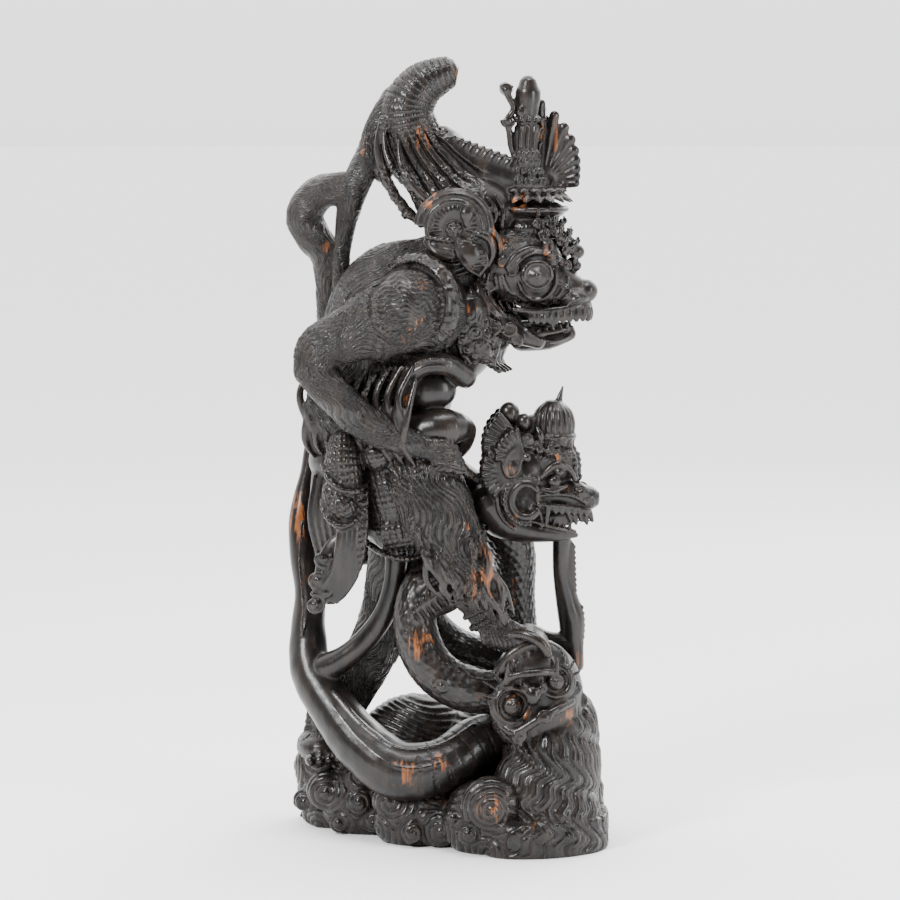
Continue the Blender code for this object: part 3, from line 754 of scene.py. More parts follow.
body = Masses()
tail_line = [
    (-96, 52, 322, 7), (-103, 50, 296, 6), (-109, 46, 266, 6), (-114, 40, 228, 9.2), (-112, 36, 205, 10.2),
    (-107, 30, 176, 11.5), (-108, 24, 147, 13.5), (-106, 14, 122, 16), (-87, -4, 91, 18),
    (-64, -20, 66, 21), (-36, -32, 50, 22), (-8, -30, 53, 21), (20, -15, 68, 20), (48, 4, 76, 17),
]
body.limb(*tail_line, sides=32, fur=22)
body.limb(
    (-104, 14, 116, 9), (-94, 4, 122, 11), (-80, -2, 131, 9.5), (-64, -5, 145, 8.5), (-48, -8, 168, 8),
    (-42, -9, 190, 8), (-40, -8, 214, 9), sides=24, fur=12,
)
body.limb((-112, 22, 232, 1.2), (-114, 18, 205, 1.3), (-111, 10, 170, 1.2), (-112, 8, 147, 1.0), sides=8)
ridge = smooth_path(tail_line[8:13], 3)
body.limb(*[(x, y - r * 0.5, z + r * 0.84, 2.4) for x, y, z, r in ridge[::3]], sides=8)
body.limb(*[(x, y - r * 0.93, z + r * 0.3, 1.5) for x, y, z, r in ridge[::3]], sides=8)
piece = body.fuse("serpent_lower_coil")
run, turn, near, count = flow(piece, body.lines)
cross = np.abs(np.sin(math.pi * run / 9))
push(piece, -0.45 * near * (cross < 0.14) * (run > 330) + 0.3 * waves(to_layout(read(piece.data)), 30, 2))
finish(piece,
       ebony("ebony_lower_coil",
             [(-112, 24, 236, 26), (-108, 14, 190, 9), (-36, -55, 54, 14), (-8, -50, 62, 10)]))

coil = Masses()
loop_line = [
    (-10, -12, 204, 13), (-24, -25, 182, 15), (-25, -32, 154, 16.5), (-12, -36, 128, 17), (9, -36, 114, 17),
    (34, -30, 110, 16), (60, -5, 116, 15), (60, 22, 124, 13), (34, 30, 127, 13), (6, 28, 137, 12),
    (-14, 16, 158, 11), (-20, 0, 184, 12),
]
coil.limb(*loop_line, sides=32, fur=18)
coil.volute((-6, -53, 118), 6.5, 1.5, 1.3, (-0.1, -1, 0), 0, 0.5)
coil.volute((-30, -45, 142), 6, 1.8, 1.2, (-0.4, -1, 0), 90, 0.5)
inner = smooth_path(loop_line[2:7], 3)
coil.limb(*[(x + r * 0.2, y - r * 0.75, z + r * 0.62, 1.6) for x, y, z, r in inner[::3]], sides=8)
coil.lump((-8, -33, 184), (27, 8, 16), (0, -24, 0), sides=24)
fin_foot, fin_tip = Vector((-32, -42, 166)), Vector((17, -40, 206))
coil.limb((*fin_foot, 6), (*fin_foot.lerp(fin_tip, 0.5), 11), (*fin_tip, 1.2), facing=(0, 1, 0), thin=0.35)
coil.limb((*fin_foot, 1.6), (*(fin_foot.lerp(fin_tip, 0.5) + Vector((0, -5, 1))), 1.8), (*fin_tip, 1),
          sides=8)
for i in range(11):
    share = 0.08 + i * 0.082
    root = fin_foot.lerp(fin_tip, share) + Vector((0, -4.6, 0.5))
    for side in (-1, 1):
        reach = 10.5 * math.sin(math.pi * (0.15 + share * 0.8))
        end = root + Vector((0.35 * reach + 0.3 * reach * -side, 0.6, side * reach * 0.95))
        coil.limb((*root, 1.1), (*root.lerp(end, 0.6), 1.5), (*end, 0.6), sides=8)
coil.beads([(-34, -46, 178), (-14, -48, 196), (8, -46, 210)], 1.7)
piece = coil.fuse("serpent_loop")
scale(piece, coil.lines, 6, 0.5)
finish(piece, ebony("ebony_loop", [(-22, -48, 150, 15), (20, -44, 110, 9), (-2, -48, 190, 8)]))

waist = Masses()
waist.limb((-42, -30, 306, 13), (-20, -46, 307, 15), (0, -47, 310, 14), (10, -39, 309, 9),
           (6, -20, 297, 11), (-20, 5, 286, 17), sides=32)
arch = [(-40, -44, 318, 7), (-36, -50, 342, 8), (-21, -54, 356, 8), (-3, -52, 357, 8), (11, -40, 347, 9)]
waist.limb(*arch, sides=20)
arch_path = smooth_path(arch, 3)
waist.beads([(x, y - r * 0.86, z + r * 0.5) for x, y, z, r in arch_path], 1.9)
waist.limb(*[(x, y - r * 0.98, z - r * 0.1, 1.2) for x, y, z, r in arch_path[::3]], sides=8)
waist.lump((-15, -38, 337), (20, 13, 16), sides=32)
waist.limb((-8, 10, 280, 12), (12, 6, 264, 12), (32, -2, 252, 13), sides=20)
waist.volute((-2, -60, 300), 5.5, 1.3, 1.4, (0.1, -1, 0), 0, 0.5)
waist.volute((-22, -61, 306), 4.5, 1.2, 1.2, (0, -1, 0), 180, 0.5)
piece = waist.fuse("serpent_upper_coil")
finish(piece, ebony("ebony_upper_coil", [(-30, -48, 330, 8)]))

neck = Masses()
neck.limb((38, -6, 256, 19), (38, 2, 234, 17), (47, 12, 212, 17), (50, 20, 175, 14.5), (52, 25, 130, 16),
          sides=32, fur=16)
neck.limb((84, 0, 222, 7), (84, 4, 196, 6.5), (88, 8, 176, 8.5), (92, 10, 158, 10), (93, 10, 142, 8.5),
          (95, 8, 132, 6.3), (95.5, 8, 124, 6), sides=24)
neck.limb((62, 10, 146, 9), (76, 10, 142, 7), (90, 10, 141, 8), sides=20)
spine = smooth_path([(29, -22, 262, 3), (25, -24, 244, 3.4), (24, -22, 222, 3), (27, -16, 196, 2.6)], 4)
for x, y, z, r in spine:
    neck.lump((x, y, z), (r * 1.5, r, r * 0.55), sides=10)
for i in range(9):
    z = 218 - 4.2 * i
    neck.limb((90 + 0.1 * i, 1 + 0.4 * i, z, 2.6), (93.5 + 0.15 * i, 1 + 0.4 * i, z - 3, 1.6), sides=10)
for i in range(8):
    z = 170 - 4.5 * i
    out = 101.5 - 0.12 * (i - 3) ** 2
    neck.limb((out - 4, 8, z, 2.6), (out, 8, z - 2, 1.3), sides=10)
piece = neck.fuse("serpent_neck")
scale(piece, neck.lines, 6, 0.8)
finish(piece,
       ebony("ebony_neck", [(26, -24, 236, 22), (96, 2, 126, 11), (44, 2, 180, 14), (56, 10, 200, 10)]))

# The serpent's head
# The crowned head of the serpent, jaws open: a scrolled snout with teeth, a beaded cheek, a fan of
# petals behind it and a cap that ends in a spike. All of it is polished.

SNAKE_MIDDLE = -18


def hoop(centre, wide, deep, radius, count):
    """Stations of a level ring round centre, wide and deep being how far out it runs in x and in y."""
    x, y, z = centre
    turns = np.linspace(0, 2 * math.pi, count)
    return [(x + wide * math.cos(t), y + deep * math.sin(t), z, radius) for t in turns]


snake = Masses()
snake.lump((52, -18, 266), (27, 22, 30), sides=36)
snake.limb((44, -16, 262, 21), (45, -16, 282, 20), (50, -17, 296, 15), sides=24)
snake.lump((75, -18, 282), (20, 17, 19), sides=32)
snake.limb((56, -18, 260, 17), (82, -18, 258, 13), (97, -18, 255, 11), (103, -18, 254.5, 9), sides=28)
snake.limb((30, -16, 250, 17), (40, -16, 238, 15), (58, -17, 231, 10), (78, -18, 228, 6.5),
           (94, -18, 226.5, 2), sides=28)
snake.lump((80, -18, 241), (17, 7.5, 8))
snake.lump((77, -18, 297), (15, 16, 9), sides=28)
for side in (-1, 1):

    def across(reach, side=side):
        """The y of a place that lies reach out from the head's middle, on this side of it."""
        return SNAKE_MIDDLE + reach * side

    out = Vector((0, side, 0))
    for x, z, size in ((77, 269, 5.4), (81, 276, 4.2)):
        snake.lump((x, across(16.5), z), (size, 4.6, size * 0.8), sides=20)
    snake.limb((64, across(17), 268, 1.6), (70, across(19), 275, 2.4), (79, across(18.5), 281.5, 2.6),
               (89, across(15), 277, 2.2), (93, across(12), 269, 1.4), sides=14)
    snake.limb((66, across(18), 264, 1.5), (76, across(18.5), 262, 2.0), (86, across(15.5), 265, 1.6),
               sides=14)
    snake.volute((98, across(11), 260), 5.0, 1.6, 1.2, (0.3, side, 0.1), 30, 1.2)
    for lip in ([(62, 258), (76, 259), (90, 258), (101, 252)],
                [(64, 252), (76, 251), (90, 249), (103, 246)]):
        snake.limb(*[(x, across(17 - 0.004 * (x - 60) ** 2), z, 1.6) for x, z in lip], sides=12)
    jaw = [(48, 240, 12), (62, 238, 10), (78, 233, 7), (93, 229, 2)]
    snake.limb(*[(x, across(reach), z, 1.7) for x, z, reach in jaw], sides=12)
    for i in range(6):
        x = 78 + 4.6 * i
        snake.lump((x, across(14.5 - 1.1 * i), 247.5 - 0.4 * i), (2.3, 2.4, 3.8), sides=12)
        snake.spike((68 + 4.2 * i, across(9 - 1.1 * i), 235 - 0.9 * i),
                    (69 + 4.2 * i, across(9 - 1.1 * i), 241 - i), 1.9, 0.9)
    snake.spike((73, across(15), 250), (71, across(16), 235), 3.0, 0.9)
    snake.spike((66, across(15), 250), (68, across(16), 240), 2.4, 0.9)
    for i in range(5):
        snake.limb((88 + 4 * i, across(7), 244, 2.4), (90 + 4 * i, across(6), 238 - 2.0 * (i % 2), 1.4),
                   sides=10)
    ring = Vector((56, across(20.5), 255))
    snake.limb(*[(ring.x + 10.5 * math.cos(t), ring.y, ring.z + 12.5 * math.sin(t), 3.4)
                 for t in np.linspace(0.75, 5.6, 17)],
               sides=16)
    snake.beads([ring + Vector((16 * math.cos(t), 0, 18 * math.sin(t))) for t in np.linspace(0.9, 4.9, 17)],
                1.8)
    snake.limb(*[(ring.x + 21 * math.cos(t), across(17.5), ring.z + 23 * math.sin(t), 2.0)
                 for t in np.linspace(1.5, 4.3, 13)],
               sides=12)
    leaf = [(52, 297, 0.9), (44, 291, 1.9), (40, 281, 2.4), (44, 273, 1.8), (50, 276, 1.6), (52, 284, 1.6),
            (52, 297, 0.8)]
    snake.limb(*[(x, across(22.5), z, r) for x, z, r in leaf], sides=14)
    snake.lump((46.5, across(21.5), 280), (5, 3, 6), sides=16)
    snake.lump((57, across(21.5), 287), 3.6, sides=16)
    snake.lump((80, across(16.5), 287), 3.0, sides=16)
    snake.volute((58, across(19), 300), 6.0, 1.7, 1.4, (0.1, side, 0.1), 200, 1.2)
    snake.limb((64, across(17), 309, 1.0), (67, across(17.5), 303, 3.0), (68, across(17), 297, 1.4),
               sides=14)
    for i in range(4):
        snake.volute((66 + 7 * i, across(19 - 1.2 * i), 293 - 1.5 * i), 4.2, 1.3, 1.2, (0.2, side, 0.2),
                     90 * i, 0.9)
    for hub, reach, first, last, count, slide in (
        (Vector((56, across(16), 294)), 33, 130, 200, 8, 0),
        (Vector((46, across(18), 276)), 24, 128, 232, 8, 1),
        (Vector((54, across(19), 288)), 22, 105, 185, 7, 3),
    ):
        for k in range(count):
            t = math.radians(first + (last - first) * k / (count - 1))
            way = Vector((math.cos(t), 0, math.sin(t)))
            spread = reach * math.radians(last - first) / (count - 1)
            lift = out * slide
            middle, tip = hub + way * reach * 0.62 + lift, hub + way * (reach - 2.5) + lift
            snake.limb((*(hub + lift), 2), (*middle, spread * 0.5), (*tip, spread * 0.52), facing=out,
                       thin=0.7, sides=18)
            ridge = out * spread * 0.36
            snake.limb((*(middle + ridge), 1.0), (*(tip + ridge), 1.3), sides=8)
for i in range(9):
    z = 304 - 4.2 * i
    x = (90, 91, 90, 91.5, 94, 95, 95.5, 95, 96)[i]
    snake.lump((x, -18, z), (3.0, 3.4, 2.6), sides=12)
    for side in (-1, 1):
        snake.lump((x - 3, -18 + 8 * side, z), (3.0, 3.2, 2.6), sides=12)
snake.lump((44, -22, 318), (8, 8, 9), sides=24)
snake.lump((55, -28, 312), (6, 6, 7), sides=20)
snake.limb((44, -18, 300, 11), (44, -18, 312, 7), sides=20)
snake.lump((60, -18, 309), (9, 9, 8), sides=20)
snake.lump((77, -18, 313), (14, 14, 14.5), sides=32)
for i in range(20):
    a = i * math.pi / 10
    c, s = math.cos(a), math.sin(a)
    snake.limb((77 + 13.6 * c, -18 + 13.6 * s, 303, 2.2), (77 + 14.4 * c, -18 + 14.4 * s, 310, 2.0),
               (77 + 11.8 * c, -18 + 11.8 * s, 320, 1.6), (77 + 5 * c, -18 + 5 * s, 327, 0.9), sides=10)
snake.limb(*hoop((77, SNAKE_MIDDLE, 301), 15, 15, 2.2, 21))
snake.spike((80, -18, 324), (84, -18, 338.5), 3.4, 0.6)
piece = snake.fuse("serpent_head", FINE_GRAIN)
x, y, z = to_layout(read(piece.data)).T
hollow = (1 - ((x - 57) / 7.5) ** 2 - ((z - 255) / 9.5) ** 2).clip(0, 1)
push(piece, -7.0 * hollow ** 0.6 * (np.abs(y + 18) > 10) * (x < 66))
brow = ((z - 283) / 3).clip(0, 1) * ((93 - x) / 3).clip(0, 1) * ((x - 60) / 4).clip(0, 1) * (z < 300)
cut_curls(piece, [((60, -38, 280), 6)], 2.6, 0.9, brow, 8.0, 21)
nose = ((x - 92) / 5).clip(0, 1) * (z > 246)
cut_curls(piece, [((104, -28, 256), 4)], 2.2, 0.4, nose, 8.0, 22)
finish(piece,
       ebony("ebony_serpent_head",
             [(52, -36, 240, 9), (90, -28, 262, 6), (46, -40, 278, 7), (78, -36, 288, 5)]))

# The legs
# The far leg stands straight on the rock, and the near one strides onto the demon's mouth. Both
# are combed over with hair and end in bare toes, and the near calf has two rings.

leg = Masses()
leg.limb((-32, 16, 250, 26), (-38, 20, 205, 24), (-48, 26, 158, 21), (-66, 34, 118, 19), (-90, 42, 76, 17),
         sides=32, fur=34)
leg.lump((-98, 42, 56), (20, 26, 14), sides=24)
for i in range(9):
    z = 104 - 7 * i
    leg.limb((-94 - 1.2 * i, 44, z, 5), (-105 - 0.9 * i, 46, z - 5, 3.4), (-108 - 0.9 * i, 46, z - 11, 1.4),
             sides=12)
leg.limb((-18, 4, 250, 2.6), (-22, 4, 214, 2.4), (-32, 8, 168, 2.4), (-48, 14, 128, 2.6),
         (-64, 22, 100, 2.2))
for i in range(4):
    leg.lump((-106 + 7 * i, 14 + 3 * i, 50), (4.5, 9, 5), sides=16)
piece = leg.fuse("far_leg")
comb(piece, leg.lines, 1.3, 27, 0.02, 1.0)
finish(piece, ebony("ebony_far_leg", [(-46, 4, 170, 12)], True))

stride = Masses()
stride.limb((-28, -20, 286, 32), (-18, -32, 262, 30), (-4, -38, 235, 26), (9, -42, 207, 19),
            (23, -43, 178, 14.5), (34, -44, 160, 12.5), sides=36, fur=36)
stride.limb((34, -44, 158, 13), (50, -50, 152, 11), (64, -52, 148, 8), sides=24)
for i in range(5):
    stride.limb((44, -56 + 5.5 * i, 158, 4.0), (58, -64 + 7.5 * i, 158, 4.4), (67, -67 + 8 * i, 153, 4.4),
                (72, -67 + 8.2 * i, 145, 3.4), sides=16)
    stride.lump((72, -68 + 8.2 * i, 149), (2.4, 2.6, 2.0))
for along, reach in ((0.0, 15.5), (0.16, 14.6)):
    axis = Vector((0.5, -0.05, -0.86))
    middle = Vector((24, -43, 176)) + axis * along * 60
    side = axis.cross(Vector((0, 1, 0))).normalized()
    up = axis.cross(side)
    stride.limb(*[(*(middle + (side * math.cos(t) + up * math.sin(t)) * reach), 1.7)
                  for t in np.linspace(0, 2 * math.pi, 17)])
hair_roots = [(-30 + 5.5 * i, 262 - 3 * i) for i in range(11)]
for i, (x, z) in enumerate(hair_roots):
    for row in range(2):
        sway = 4 if (i + row) % 2 else -3
        start = Vector((x + 4 * row, -53 - 3 * (i % 2), z - 22 * row))
        stride.limb(
            (*start, 1.8),
            (start.x + 5 + sway, start.y - 5, start.z - 20, 2.8),
            (start.x + 13 - sway, start.y - 3, start.z - 42, 2.6),
            (start.x + 24 + 0.5 * sway, start.y + 5, start.z - 62, 1.1),
            sides=8,
        )
stride.limb((-20, -50, 276, 4), (-8, -55, 282, 4.6), (6, -50, 280, 4.4), (16, -40, 274, 3), sides=14)
stride.petal((-34, -54, 254), (-36, -57, 278), 6.5, (0, -1, 0.1))
stride.petal((-22, -56, 258), (-18, -60, 276), 5.0, (0, -1, 0.1))
piece = stride.fuse("near_leg")
comb(piece, stride.lines, 2.1, 27, -0.03, 2.0, 4.0)
wood = ebony("ebony_near_leg",
             [(22, -58, 198, 17), (28, -56, 218, 12), (12, -60, 240, 8), (-24, -52, 276, 9)], True)
finish(piece, wood)

# The hip cloth
# A wrapped cloth with a fine weave, a knotted sash cut in checks, and its long end that hangs in
# flutes with curled edges. It is thin relief over the hips, all of it part of the block.

cloth = Masses()
cloth.lump((-42, 2, 266), (46, 42, 38), sides=40)
cloth.lump((-38, -8, 244), (34, 36, 30), sides=32)
cloth.lump((-82, -2, 281), (24, 30, 20), sides=32)
cloth.limb((-90, -8, 278, 13), (-94, -10, 245, 11), (-89, -14, 208, 9), sides=20)
for i in range(5):
    cloth.limb((-100 + 5 * i, -20 - 2 * i, 272, 2), (-104 + 5 * i, -22 - 2 * i, 240, 2.4),
               (-97 + 5 * i, -22 - 2 * i, 206, 1.8), sides=8)
cloth.limb((-22, -44, 296, 10), (-24, -50, 276, 10), sides=24)
cloth.limb((-44, -26, 280, 20), (-42, -25, 250, 22), (-42, -20, 230, 17), sides=32)
cloth.lump((-54, -44, 289), (12, 12, 12), sides=28)
cloth.limb((-79, -40, 296, 12), (-79, -44, 280, 14), (-77, -45, 268, 13), sides=32, fur=18)
cloth.limb((-86, -44, 262, 9), (-80, -47, 252, 13), (-76, -44, 244, 9), sides=32, fur=18)
cloth.limb((-94, -48, 282, 2.0), (-88, -56, 272, 2.6), (-80, -60, 266, 2.8), (-68, -58, 264, 2.6),
           (-62, -50, 268, 2.0))
cloth.limb((-95, -46, 256, 1.8), (-90, -55, 244, 2.4), (-80, -58, 238, 2.6), (-69, -54, 242, 2.2))
for i in range(6):
    x = -64 - 3.6 * i
    cloth.limb((x + 2, -44 - 1.2 * i, 262 - 2 * i, 2.2), (x + 1, -50 - i, 232, 2.9),
               (x - 3, -51 - 0.6 * i, 208, 2.8),
               (x - 12, -49, 190, 2.5), (x - 20 + i, -46, 180 + i, 1.6), sides=12)
cloth.limb((-72, -36, 250, 9), (-73, -38, 224, 9.5), (-80, -38, 200, 8), (-90, -38, 182, 5), sides=20)
cloth.lump((-84, -36, 204), (16, 6, 28), (0, 14, 0), sides=24)
edge_scrolls = ((-91, 228, 6), (-94, 213, 7), (-89, 203, 5), (-97, 197, 6.5), (-92, 188, 5), (-100, 179, 8))
for i, (x, z, size) in enumerate(edge_scrolls):
    cloth.volute((x, -50, z), size, 2.0, 1.4, (0, -1, 0), 90 + 70 * i, 1.2)
cloth.lump((-100, -51, 179), 3.6)
cloth.limb((-60, 38, 292, 12), (-64, 44, 250, 13), (-66, 44, 205, 10), sides=20)
for i in range(4):
    cloth.limb((-70 + 6 * i, 50, 286, 2), (-73 + 6 * i, 56, 250, 2.6), (-73 + 5 * i, 53, 206, 1.6), sides=8)
for i in range(9):
    cloth.limb((-50 + 4.5 * i, -40, 252, 1.4), (-50 + 4.5 * i, -44, 230, 2.0), (-47 + 4 * i, -36, 215, 1.4),
               sides=8)
hem = [(-60, -38, 222, 2.4), (-46, -42, 214, 2.6), (-30, -42, 212, 2.6), (-14, -38, 216, 2.4)]
cloth.limb(*hem)
cloth.beads([(x, y - 3, z) for x, y, z, r in smooth_path(hem, 3)], 1.5, 1.1)
for i in range(7):
    t = i / 6
    cloth.limb((-80 + 8 * i, -30 - 12 * math.sin(math.pi * t), 302, 2),
               (-72 + 8 * i, -34 - 12 * math.sin(math.pi * t), 296, 2.2),
               (-66 + 8 * i, -30 - 12 * math.sin(math.pi * t), 288, 1.4), sides=8)
piece = cloth.fuse("hip_cloth", GRAIN)
run, turn, near, count = flow(piece, cloth.lines)
checks = (np.abs(np.sin(math.pi * run / 5.0)) < 0.34) | (np.abs(np.sin(turn * count / 2)) < 0.34)
spots = to_layout(read(piece.data))
weave = (np.abs(np.sin(math.pi * (spots[:, 0] + 0.3 * spots[:, 2]) / 5.0)) < 0.3) | (
    np.abs(np.sin(math.pi * (spots[:, 2] - 0.2 * spots[:, 0]) / 5.0)) < 0.3
)
front = (spots[:, 1] < -20) & (spots[:, 0] > -68) & (spots[:, 2] < 292)
push(piece, -0.9 * near * checks * (spots[:, 2] > 238) - 0.6 * weave * front * (1 - near))
finish(piece, ebony("ebony_hip_cloth", [(-30, -46, 280, 9), (-88, -30, 262, 10)]))

# The torso
# The warrior's hunched back and belly, furred all over, with long locks swept down the flank.

trunk = Masses()
trunk.limb((-48, 0, 286, 38), (-60, 0, 320, 42), (-54, 0, 360, 46), (-34, 0, 398, 49), (-6, 0, 416, 36),
           sides=48, fur=70)
trunk.lump((0, -2, 374), (35, 34, 37), sides=40)
trunk.lump((-34, 0, 330), (36, 38, 34), sides=40)
trunk.limb((-92, -12, 344, 13), (-92, -20, 322, 13), (-84, -20, 300, 10), sides=24)
trunk.limb((-70, -28, 340, 14), (-66, -32, 318, 14), (-58, -32, 300, 10), sides=24)
for row in range(2):
    for i in range(19):
        x = -110 + 4.1 * i + 2 * row
        y = -15 - 2.3 * i
        sway = (2.5 if i % 2 else -2.5) * (1 - 2 * row)
        drop = 10 * row
        trunk.limb((x + 9, y - 5, 356 - drop, 1.8), (x + 1 + sway, y - 9 - row, 332 - drop, 2.9),
                   (x + 3 - sway, y - 8 - row, 308 - drop, 2.7), (x + 9, y - 2, 286 - 0.4 * drop, 1.0),
                   sides=8)
for i in range(9):
    x = -84 + 9 * i
    trunk.limb((x + 6, 30 + 2 * i, 412 - 2 * i, 2.0), (x + 1, 44, 384, 3.0), (x + 6, 45, 352, 2.6),
               (x + 10, 38, 326, 1.4), sides=8)
piece = trunk.fuse("torso", GRAIN * 1.05)
comb(piece, trunk.lines, 1.4, 31, 0.01, 3.0, 9.0)
finish(piece, ebony("ebony_torso", [(-24, -48, 380, 12), (-30, -44, 410, 8)], True))

# The arms
# The near arm bends at the elbow and lies across the waist, with a beaded armlet at the shoulder and
# a plain one above the elbow. The far arm reaches down to the serpent's crest.


def armlet(masses, centre, along, radius, thick, beads=0, bead=1.8):
    """A ring round a limb, with beads set on its face."""
    axis = Vector(along).normalized()
    side = axis.cross(Vector((0, 0, 1))).normalized()
    up = axis.cross(side)
    turn = [(side * math.cos(t) + up * math.sin(t)) * radius for t in np.linspace(0, 2 * math.pi, 33)]
    masses.limb(*[(*(Vector(centre) + out), thick) for out in turn], gap=3)
    for k in range(beads):
        t = k * 2 * math.pi / beads
        out = side * math.cos(t) + up * math.sin(t)
        masses.lump(Vector(centre) + out * (radius + thick * 0.7), bead, sides=10)


arms = Masses()
arms.limb((-16, -34, 396, 32), (-46, -50, 389, 27), (-76, -57, 378, 20), (-96, -60, 368, 17),
          (-99, -60, 355, 16), sides=40, fur=42)
arms.limb((-30, -50, 402, 27), (-24, -42, 402, 27), sides=40, fur=44)
arms.limb((-99, -60, 355, 16), (-82, -63, 333, 13.5), (-60, -62, 314, 13), (-36, -58, 302, 11),
          (-12, -58, 296, 9), sides=32, fur=26)
shoulder, outward = Vector((-24, -46, 402)), (-0.60, -0.80, 0.0)
arms.lump(shoulder - Vector(outward) * 4, (15, 32, 31),
          (0, 0, math.degrees(math.atan2(outward[1], outward[0]))), sides=44)
for reach, thick, slide in ((34.5, 2.0, -3.5), (31.0, 2.0, 4.5)):
    armlet(arms, shoulder + Vector(outward) * slide, outward, reach, thick)
armlet(arms, shoulder, outward, 32.6, 3.0, 24, 2.4)
axis = Vector(outward).normalized()
side = axis.cross(Vector((0, 0, 1))).normalized()
for k in range(11):
    t = k * 2 * math.pi / 11
    out = side * math.cos(t) + axis.cross(side) * math.sin(t)
    arms.volute(shoulder + out * 34.5 + axis * 2.5, 3.6, 1.3, 1.2, axis * 0.8 + out, 60 * k, 0.8)
armlet(arms, (-57, -53, 385), (-0.9, -0.35, -0.3), 24.6, 2.2)
armlet(arms, (-63, -54, 383), (-0.9, -0.35, -0.3), 23.2, 2.0)
for k in range(4):
    arms.limb((-20 + 3 * k, -62 + k, 302 - 5 * k, 3.6), (-8 + 3 * k, -64 + k, 300 - 5 * k, 3.8),
              (4 + 2 * k, -58 + k, 296 - 5 * k, 3.0), sides=14)
arms.limb((-6, 32, 396, 28), (22, 42, 378, 19), (42, 42, 354, 18), (44, 32, 330, 15.5), (44, 16, 306, 15),
          sides=36, fur=34)
arms.lump((46, 6, 300), (14, 16, 10), sides=24)
for k in range(4):
    arms.limb((56, 14 - 6 * k, 308, 3.4), (60, 12 - 6 * k, 298, 3.6), (58, 10 - 6 * k, 290, 2.8), sides=12)
piece = arms.fuse("arms", GRAIN)
comb(piece, arms.lines, 1.3, 25, 0.03, 4.0, 3.5)
spots = to_layout(read(piece.data))
from_disc = spots - np.array(shoulder)
inward = from_disc @ np.array(outward)
radial = np.linalg.norm(from_disc - inward[:, None] * np.array(outward), axis=1)
rim = np.linalg.norm(spots[:, [0, 2]] - np.array((-30, 400)), axis=1)
disc = ((27 - rim) / 2).clip(0, 1) * (spots[:, 1] < -40)
push(piece, -1.8 * (1 - np.abs(rim - 28.5) / 1.8).clip(0, 1) * (spots[:, 1] < -40) * (radial < 31))
x, y, z = spots.T
strand = np.abs(np.sin(math.pi * (z + 2.4 * np.sin(x / 4.5) + 1.4 * np.sin(x / 2.1 + z / 9)) / 3.6))
push(piece, disc * 1.3 * (strand ** 0.7 - 0.7))
finish(piece, ebony("ebony_arms", [(-22, -70, 392, 8), (-28, -74, 378, 9), (-20, -68, 416, 7)], True))

# The tail
# The warrior's tail leaves the small of the back, climbs, bends over and lies up the crown. It is
# smooth, with shallow gouge marks across the bend.

curl = Masses()
curl.limb((-94, 44, 332, 11), (-89, 32, 388, 12), (-92, 26, 430, 12.5), (-109, 22, 465, 14),
          (-98, 17, 480, 13.5), (-76, 12, 484, 12), sides=32, fur=24)
curl.limb((-82, 10, 400, 6.5), (-80, 10, 446, 7), (-73, 10, 478, 10), (-60, 8, 509, 11), (-53, 6, 532, 9),
          (-43, 4, 553, 7), sides=24, fur=18)
piece = curl.fuse("tail")
comb(piece, curl.lines, 0.7, 37, 0.0, 5.0)
spots = to_layout(read(piece.data))
push(piece, 0.5 * waves(spots, 26, 2))
finish(piece, ebony("ebony_tail", [(-62, -2, 516, 9), (-88, 18, 408, 9), (-92, 12, 440, 6)], True))

# The warrior's head
# The monkey face under its diadem: ringed eyes, folded snout with a ball nose, bared teeth, a grooved
# leaf ear, strands of cheek hair, a ribbed fan behind the ear and a curled beard. The ornament
# stands proud of the face, and its edges are polished.

head = Masses()
turned = Matrix.Translation((60, -8, 424)) @ Matrix.Rotation(math.radians(-12), 4, "Z")


def at(x, y, z):
    """A place on the head, whose face looks along X."""
    return turned @ Vector((x, y, z))


head.lump(at(-14, 0, 6), (36, 33, 30), sides=40)
head.limb((*at(0, 0, -2), 24), (*at(18, 0, -9), 18.5), (*at(31, 0, -14), 12), sides=32)
head.lump(at(32, 0, -19), (14, 18, 8), sides=28)
head.lump(at(10, 0, -31), (20, 10, 6), sides=24)
head.limb((*at(-6, 0, -50), 11), (*at(14, 0, -51), 8), (*at(29, 0, -47), 5.5), sides=24)
head.lump(at(-40, 0, -44), (19, 25, 25), sides=28)
head.lump(at(-44, 0, 16), (28, 33, 21), sides=32)
for side in (1, -1):
    head.limb((*at(-36, 25 * side, -16), 8), (*at(-16, 21 * side, -42), 8), (*at(8, 13 * side, -52), 6),
              sides=20)
skull = head.surface()


def both_sides(spots):
    """Places on the near side of the head, then the same places on its far side."""
    inverse = turned.inverted()
    far = []
    for spot in spots:
        x, y, z = inverse @ Vector(spot[:3])
        far.append((*at(x, -y, z), *spot[3:]))
    return [tuple(spot) for spot in spots], far


def on_side(side, spots):
    """Places of the near side of the head: as they are if side is -1, on the far side if it is 1."""
    near, far = both_sides(spots)
    return near if side < 0 else far


def draw(stations, thick, lift=0.0, sides=10, taper=0.45):
    """Lays a ridge through x, z on the near side of the head, and its mirror on the far side."""
    path = smooth_path([(x, 0, z, 1) for x, z in stations], 3.0)
    spots = []
    depth, largest_step = -30.0, 16
    for i, (x, y, z, r) in enumerate(path):
        hit = skull.ray_cast(Vector((x, -200, z)), Vector((0, 1, 0)))[0]
        if hit is not None and (not spots or abs(hit.y - depth) < largest_step):
            depth = hit.y
        share = math.sin(math.pi * (i + 0.5) / len(path)) ** 0.5
        spots.append((x, depth - lift, z, thick * (taper + (1 - taper) * share)))
    for line in both_sides(spots):
        head.limb(*line, sides=sides, gap=max(1.5, thick * 0.7))
    return spots


